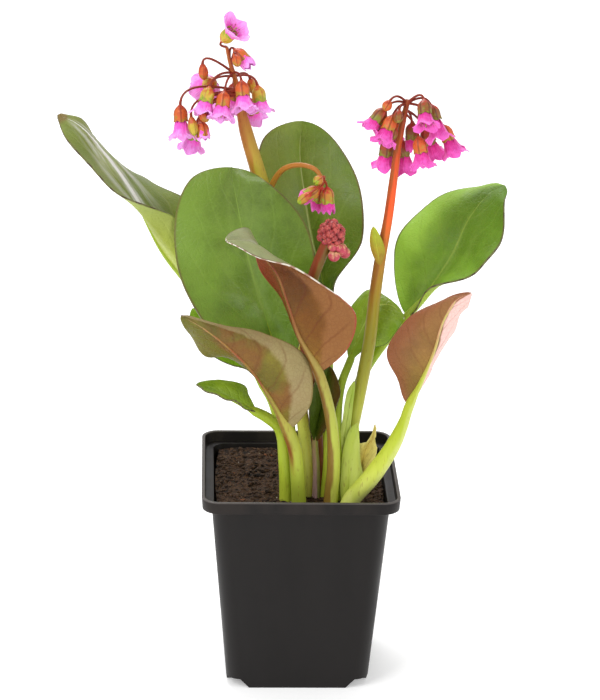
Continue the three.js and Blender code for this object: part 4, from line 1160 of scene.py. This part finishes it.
def calyx_finish(name, foot, middle, tip, vein, share=0.5, rise=(0.12, 0.5, 0.6, 1.0)):
    """Sepals: a colour at the foot of the cup, one at its middle and one at its teeth. rise holds the
    heights between which each gives way to the next, and share is how dark the five seams are."""
    material, tree, shader = finish_named(name, 0.42, specular=0.45)
    parts = node(tree, "ShaderNodeSeparateXYZ", {0: node(tree, "ShaderNodeUVMap").outputs[0]})
    marks = grained(tree, 420)
    shift = sum_up(tree, "MULTIPLY_ADD", marks["Mottle"], 0.4, -0.2)
    way = sum_up(tree, "ADD", parts.outputs[1], shift)
    lower = blend(tree, fade(tree, way, rise[0], rise[1]), paint(foot), paint(middle))
    upper = blend(tree, fade(tree, way, rise[2], rise[3]), lower, paint(tip))
    seam = sum_up(tree, "PINGPONG", times(tree, parts.outputs[0], 5.0), 0.5)
    lined = blend(tree, fade(tree, seam, 0.02, 0.16, share, 0), upper, paint(vein))
    tree.links.new(lined, shader.inputs["Base Color"])
    raised(tree, shader, marks["Mottle"], 0.3, 0.0003)
    return material


CALYX_ORANGE = calyx_finish("calyx, orange", "b8401f", "d9652c", "b88a2c", "7d2a14", 0.7)
CALYX_GREEN = calyx_finish("calyx, orange to yellow-green", "cc5a26", "cfb23c", "93a82c", "a85c22", 0.55)
CALYX_RUSSET = calyx_finish("calyx, russet", "b8382a", "94562a", "8a8a30", "5f2414", 0.75)
CALYX_LIME = calyx_finish("calyx, red to lime", "c9352a", "c98a34", "a0c02c", "8a3a1c", 0.7)


def stand_on(base, tip):
    """The placing that carries a shape from upright at the origin to a flower's own line."""
    base, tip = Vector(base), Vector(tip)
    spin = (tip - base).to_track_quat("Z", "Y").to_matrix().to_4x4()
    return Matrix.Translation(base * MM) @ spin @ Matrix.Scale(MM, 4)


def placed_copy(form, placing, name):
    """A copy of a modelled form with its own mesh, which holds its place."""
    copy = form.copy()
    copy.data = form.data.copy()
    copy.name = name
    bpy.context.collection.objects.link(copy)
    copy.data.transform(placing)
    return copy


def pedicel(flower, stem_track):
    """A thin stalk that leaves the stem at its height and bends over into the calyx."""
    _, start, tip, height = flower
    base, axis = Vector(start), (Vector(tip) - Vector(start)).normalized()
    foot = min(stem_track, key=lambda point: abs(point.z - height))
    bend = base - axis * (2 + 0.4 * (foot - base).length)
    far = base + axis
    track = [
        foot * (1 - t) ** 2 + bend * 2 * t * (1 - t) + far * t**2 for t in (i / 12 for i in range(13))
    ]
    thin = strand("pedicel", track, [[0, 0.85], [0.15, 0.7], [0.8, 0.62], [1, 0.95]], 2)
    thin.data.materials.append(THIN_STALK)
    return thin


def head(name, stems, stem_track, flowers, looks, seed):
    """A stalk joined with its pedicels, calyces and shut buds."""
    draw = random.Random(seed)
    grown = list(stems)
    for i, flower in enumerate(flowers):
        kind, base, tip, _ = flower
        grown.append(pedicel(flower, stem_track))
        if kind == "bud":
            size = (Vector(tip) - Vector(base)).length / 6
            placing = stand_on(base, tip) @ Matrix.Diagonal((1, 1, size, 1))
            cup = placed_copy(shut_form, placing, "shut")
        else:
            twist = Matrix.Rotation(draw.uniform(0, 1.2), 4, "Z")
            cup = placed_copy(calyx_form, stand_on(base, tip) @ twist, "cup")
        cup.data.materials.append(looks[i % len(looks)])
        grown.append(cup)
    whole = join(grown, name)
    smooth(whole, 55)
    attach(whole, "root")
    return whole


left_head = head(
    "flower_stalk_left", [stem_left], Rail(LEFT_STALK).spaced(120), LEFT_FLOWERS,
    [CALYX_GREEN, CALYX_ORANGE, CALYX_ORANGE, CALYX_ORANGE, CALYX_GREEN], 3,
)
nodding_head = head(
    "nodding_branch", [arch], Rail(NODDING_BRANCH).spaced(40), NODDING_FLOWERS, [CALYX_LIME], 5
)
left_head = join([left_head, nodding_head], "flower_stalk_left")
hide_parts("scape_left")

# Bract
# One small yellow-green leaf at the joint of the right stalk, cupped a little in front of it. It grows
# from the stalk, so the two are one piece.
BRACT = dict(
    rib=[[41, -21, 247], [40, -22.5, 254], [38.5, -23, 261], [37, -23, 269]],
    left=[[37, -21, 254], [35.5, -22, 262]],
    right=[[43.5, -22, 254], [42, -23, 261]],
    camber=([0.1, 0.1], [0.1, 0.1]), wave=0, thickness=1.1, relief=0,
)
BRACT_FACE = blade_finish(
    "bract", "b5722e", "b9c236", "c3d045", "a9ba3c", left=("a8722c", 0.5), patch=("aab83a", 0.5),
    margin="9aa83a", gloss=0.42
)
bract = lay_blade("bract", BRACT, (BRACT_FACE, BRACT_FACE, EDGE_GREEN), 12, 24)
right_head = head(
    "flower_stalk_right", [stem_right, bract], Rail(RIGHT_STALK).spaced(120), RIGHT_FLOWERS,
    [CALYX_RUSSET, CALYX_ORANGE, CALYX_RUSSET], 7,
)
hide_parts("scape_right")

# Petals
# Five soft pink petals overlap into a bell, each narrow in its calyx and round at its tip. Ten thin
# stamens and a green style stand inside. A half-open flower shows only a short tube of petals.
PETAL, CUP_DEPTH, FORM_LENGTH = 0.35, 6.4, 17
FORMS = {
    "bell": [(0, 2.2), (0.25, 3.2), (0.5, 4.0), (0.75, 4.9), (1, 7.4)],
    "open": [(0, 2.2), (0.25, 3.4), (0.5, 5.2), (0.75, 7.4), (1, 9.2)],
    "half": [(0, 2.4), (0.25, 3.4), (0.5, 3.7), (0.75, 3.7), (1, 3.0)],
}


def petal_finish(name, deep, pale, line):
    """Petals, paler towards their rims, with fine lines that fan out from the claw."""
    material, tree, shader = finish_named(name, 0.55, specular=0.3, sheen=0.3)
    parts = node(tree, "ShaderNodeSeparateXYZ", {0: node(tree, "ShaderNodeUVMap").outputs[0]})
    marks = grained(tree, 500)
    rim = fade(tree, sum_up(tree, "MULTIPLY_ADD", marks["Mottle"], 0.25, parts.outputs[1]), 0.35, 1.15)
    ground = blend(tree, rim, paint(deep), paint(pale))
    drawn_out = {"Vector": node(tree, "ShaderNodeUVMap").outputs[0], "Scale": (14, 1.2, 1)}
    fanned = node(tree, "ShaderNodeMapping", drawn_out).outputs[0]
    fan = cloudiness(tree, fanned, 1.0, Detail=2.0)
    veins = fade(tree, fan, 0.52, 0.62)
    tree.links.new(blend(tree, times(tree, veins, 0.35), ground, paint(line)), shader.inputs["Base Color"])
    raised(tree, shader, fan, 0.3, 0.0003)
    return material


PETAL_PALE = petal_finish("petal, pale pink", "ff5ad6", "ffb0fc", "c83aaa")
PETAL_DEEP = petal_finish("petal, deep pink", "e6289a", "ff6cd6", "a61a70")
STAMEN = petal_finish("stamen", "c9578a", "e0a070", "a8406a")
STYLE = petal_finish("style", "b5c04a", "c8d060", "9aa83a")


def one_petal(profile, length, seed):
    """A grid bent into one petal that stands around the flower's line, in mm."""
    bpy.ops.object.select_all(action="DESELECT")
    bpy.ops.mesh.primitive_grid_add(x_subdivisions=8, y_subdivisions=12, size=2)
    leaflet = bpy.context.object
    for point in leaflet.data.vertices:
        s, t = point.co.x, (point.co.y + 1) / 2
        spread = along([(0, 0.34), (0.35, 0.66), (0.7, 0.78), (0.88, 0.7), (1, 0.42)], t)
        curl = 0.5 * noise.noise(Vector((2 * s, 3 * t, seed))) * t + 0.25 * s
        ruffle = 0.55 * math.sin(3.2 * s + seed) * t**3
        radius = along(profile, t) + curl + ruffle
        climb = (length - CUP_DEPTH) * (t - 0.2 * t**3 * s * s)
        height = CUP_DEPTH + climb + 0.4 * math.cos(4 * s + seed) * t**4
        point.co = (radius * math.cos(s * spread), radius * math.sin(s * spread), height)
    apply(leaflet, "SOLIDIFY", thickness=PETAL, offset=0)
    return leaflet


def flower_form(kind, length, variant):
    """Five petals with the stamens and style inside, upright at the origin."""
    pieces = []
    for i in range(5):
        petal = one_petal(FORMS[kind], length, 3.7 * variant + 1.3 * i)
        petal.data.transform(Matrix.Rotation(i * math.tau / 5, 4, "Z"))
        petal.data.materials.append(PETAL_PALE)
        pieces.append(petal)
    if kind != "half":
        for i in range(10):
            way = i * math.tau / 10 + 0.2
            out = Vector((math.cos(way), math.sin(way), 0))
            tall = length * (0.86 if i % 2 else 0.78)
            track = [
                out * (1.2 + 1.6 * t) + Vector((0, 0, 6.5 + (tall - 6.5) * t)) for t in (0, 0.35, 0.7, 1)
            ]
            filament = strand("filament", track, [[0, 0.18], [1, 0.12]], 0)
            filament.data.transform(Matrix.Scale(1 / MM, 4))
            bpy.ops.object.select_all(action="DESELECT")
            bpy.ops.mesh.primitive_ico_sphere_add(subdivisions=1, radius=0.45)
            anther = bpy.context.object
            anther.data.transform(Matrix.Translation(track[-1]) @ Matrix.Diagonal((1, 1, 1.5, 1)))
            for part in (filament, anther):
                part.data.materials.append(STAMEN)
                pieces.append(part)
        style = strand(
            "style", [Vector((0, 0, z)) for z in (6.5, 9, 12, length * 0.9)],
            [[0, 0.7], [0.3, 0.4], [1, 0.3]], 1
        )
        style.data.transform(Matrix.Scale(1 / MM, 4))
        style.data.materials.append(STYLE)
        pieces.append(style)
    form = join(pieces, f"{kind}_form_{variant}")
    smooth(form, 60)
    return form


forms = {(kind, variant): flower_form(kind, FORM_LENGTH, variant) for kind in FORMS for variant in range(3)}
for prefix, flowers, material in (
    ("bell_left", LEFT_FLOWERS, PETAL_PALE),
    ("bell_right", RIGHT_FLOWERS, PETAL_DEEP),
    ("bell_nodding", NODDING_FLOWERS, PETAL_DEEP),
):
    draw = random.Random(len(flowers))
    for i, (kind, base, tip, _) in enumerate([flower for flower in flowers if flower[0] != "bud"]):
        length = (Vector(tip) - Vector(base)).length
        twist = Matrix.Rotation(draw.uniform(0, math.tau), 4, "Z")
        placing = stand_on(base, tip) @ twist @ Matrix.Diagonal((1, 1, length / FORM_LENGTH, 1))
        petals = placed_copy(forms[kind, i % 3], placing, f"petals_{prefix[5:]}_{i + 1}")
        petals.data.materials[0] = material
        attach(petals, "root")
        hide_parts(f"{prefix}_{i + 1}")
for form in (*forms.values(), calyx_form, shut_form):
    bpy.data.objects.remove(form, do_unlink=True)

# Head in bud
# A tight egg-shaped head of unopened flowers, each a small pink-red knob with five faint seams. Most
# are near-black at the foot, painted shade for the gaps between the packed knobs, and some low ones
# are cream towards their foot. Five more hang below it, three of them larger.
BUD_HEAD = dict(centre=[14, -30, 267], radii=[5.7, 5.7, 6.1], balls=42, ball=2.25)
LOWER_BUDS = [
    [19.5, -32, 259, 3.5], [15.5, -34, 256, 3.4], [21.5, -29, 256, 3.1], [17.8, -34, 260.5, 2.5],
    [14.6, -35, 260.8, 2.3]
]
# Painted shade: the near-black foot of the pink-red knobs stands in for the shadow in the gaps between them.
BUD_SKIN_SHADED = calyx_finish(
    "closed bud, pink-red, with painted shade at its foot", "3f1210", "a83c3e", "c4544e", "521616", 0.85, (0.38, 0.72, 0.75, 1.0)
)
BUD_CREAM = calyx_finish(
    "closed bud, cream foot", "7a3a28", "dca878", "c24458", "7a3a28", 0.6, (0.2, 0.4, 0.4, 0.75)
)
knob = turned_cup(
    "knob", [(-1, 0.35), (-0.7, 0.75), (-0.2, 1), (0.3, 0.98), (0.7, 0.72), (0.92, 0.4), (0.97, 0.1)], 15
)
for point in knob.data.vertices:
    x, y, z = point.co
    pinch = 1 - 0.14 * (1 - abs(math.sin(2.5 * math.atan2(y, x)))) ** 2
    point.co = (x * pinch, y * pinch, z)
map_along(knob, -1.4, 2.4)
knob.data.materials.append(BUD_SKIN_SHADED)
fat_knob = placed_copy(knob, Matrix.Identity(4), "fat_knob")
fat_knob.data.materials[0] = BUD_CREAM
centre = Vector(BUD_HEAD["centre"])
wide, deep, tall = BUD_HEAD["radii"]
draw = random.Random(19)
stem_bud = strand("stalk", Rail([*rooted(BUD_STALK), BUD_HEAD["centre"]]).spaced(60), [[0, 3.2], [1, 3.2]], 6)
stem_bud.data.materials.append(STALK_BUD)
knobs = [stem_bud]
for i in range(BUD_HEAD["balls"]):
    level = 1 - 2 * (i + 0.5) / BUD_HEAD["balls"]
    way, ring = i * math.pi * (3 - math.sqrt(5)), math.sqrt(1 - level * level)
    out = Vector((wide * ring * math.cos(way), deep * ring * math.sin(way), tall * level))
    out *= draw.uniform(0.93, 1.07)
    size = BUD_HEAD["ball"] * draw.uniform(0.8, 1.2)
    placing = stand_on(centre + out, centre + out * 2) @ Matrix.Scale(size, 4)
    knobs.append(placed_copy(fat_knob if level < -0.55 and i % 2 else knob, placing, "knob"))
for x, y, z, size in LOWER_BUDS:
    low = Vector((x, y, z))
    knobs.append(placed_copy(fat_knob, stand_on(low, low * 2 - centre) @ Matrix.Scale(size, 4), "knob"))
    thin = strand("thin", [centre, centre.lerp(low, 0.5) + Vector((0.6, 0, 0)), low], [[0, 1.2], [1, 1]], 2)
    thin.data.materials.append(STALK_BUD)
    knobs.append(thin)
for form in (knob, fat_knob):
    bpy.data.objects.remove(form, do_unlink=True)
bud_head = join(knobs, "flower_stalk_bud")
smooth(bud_head, 55)
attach(bud_head, "root")
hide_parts("scape_bud")

# Dry sheath
# The papery remains of an old leaf's foot, cream and brown, torn along its upper edge.
SHEATH = dict(
    rib=[[30, -27, 104], [31, -26, 120], [34, -26, 132], [36, -25, 140], [39, -25, 147], [41, -25, 155]],
    left=[[26, -27, 114], [27, -27, 129], [31, -26, 145], [37, -26, 145]],
    right=[[34, -27, 114], [38, -27, 127], [43, -26, 140], [42, -26, 148]],
    camber=([0.15, 0.15], [0.15, 0.15]), wave=0.7, thickness=0.7, relief=1, torn=0.75,
)
DRY = blade_finish(
    "dry sheath", "e4cc50", "ecd874", "c2a850", "8f6a35", left=("e2da84", 0.7), right=("e0d67c", 0.7),
    patch=("a4742c", 0.85), margin="f0e8a8", gloss=0.65, veins=0.3, depth=0.4,
)
sheath = lay_blade("dry_sheath_papery", SHEATH, (DRY, DRY, DRY), 16, 40)
smooth(sheath, 60)
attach(sheath, "root")
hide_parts("dry_sheath")
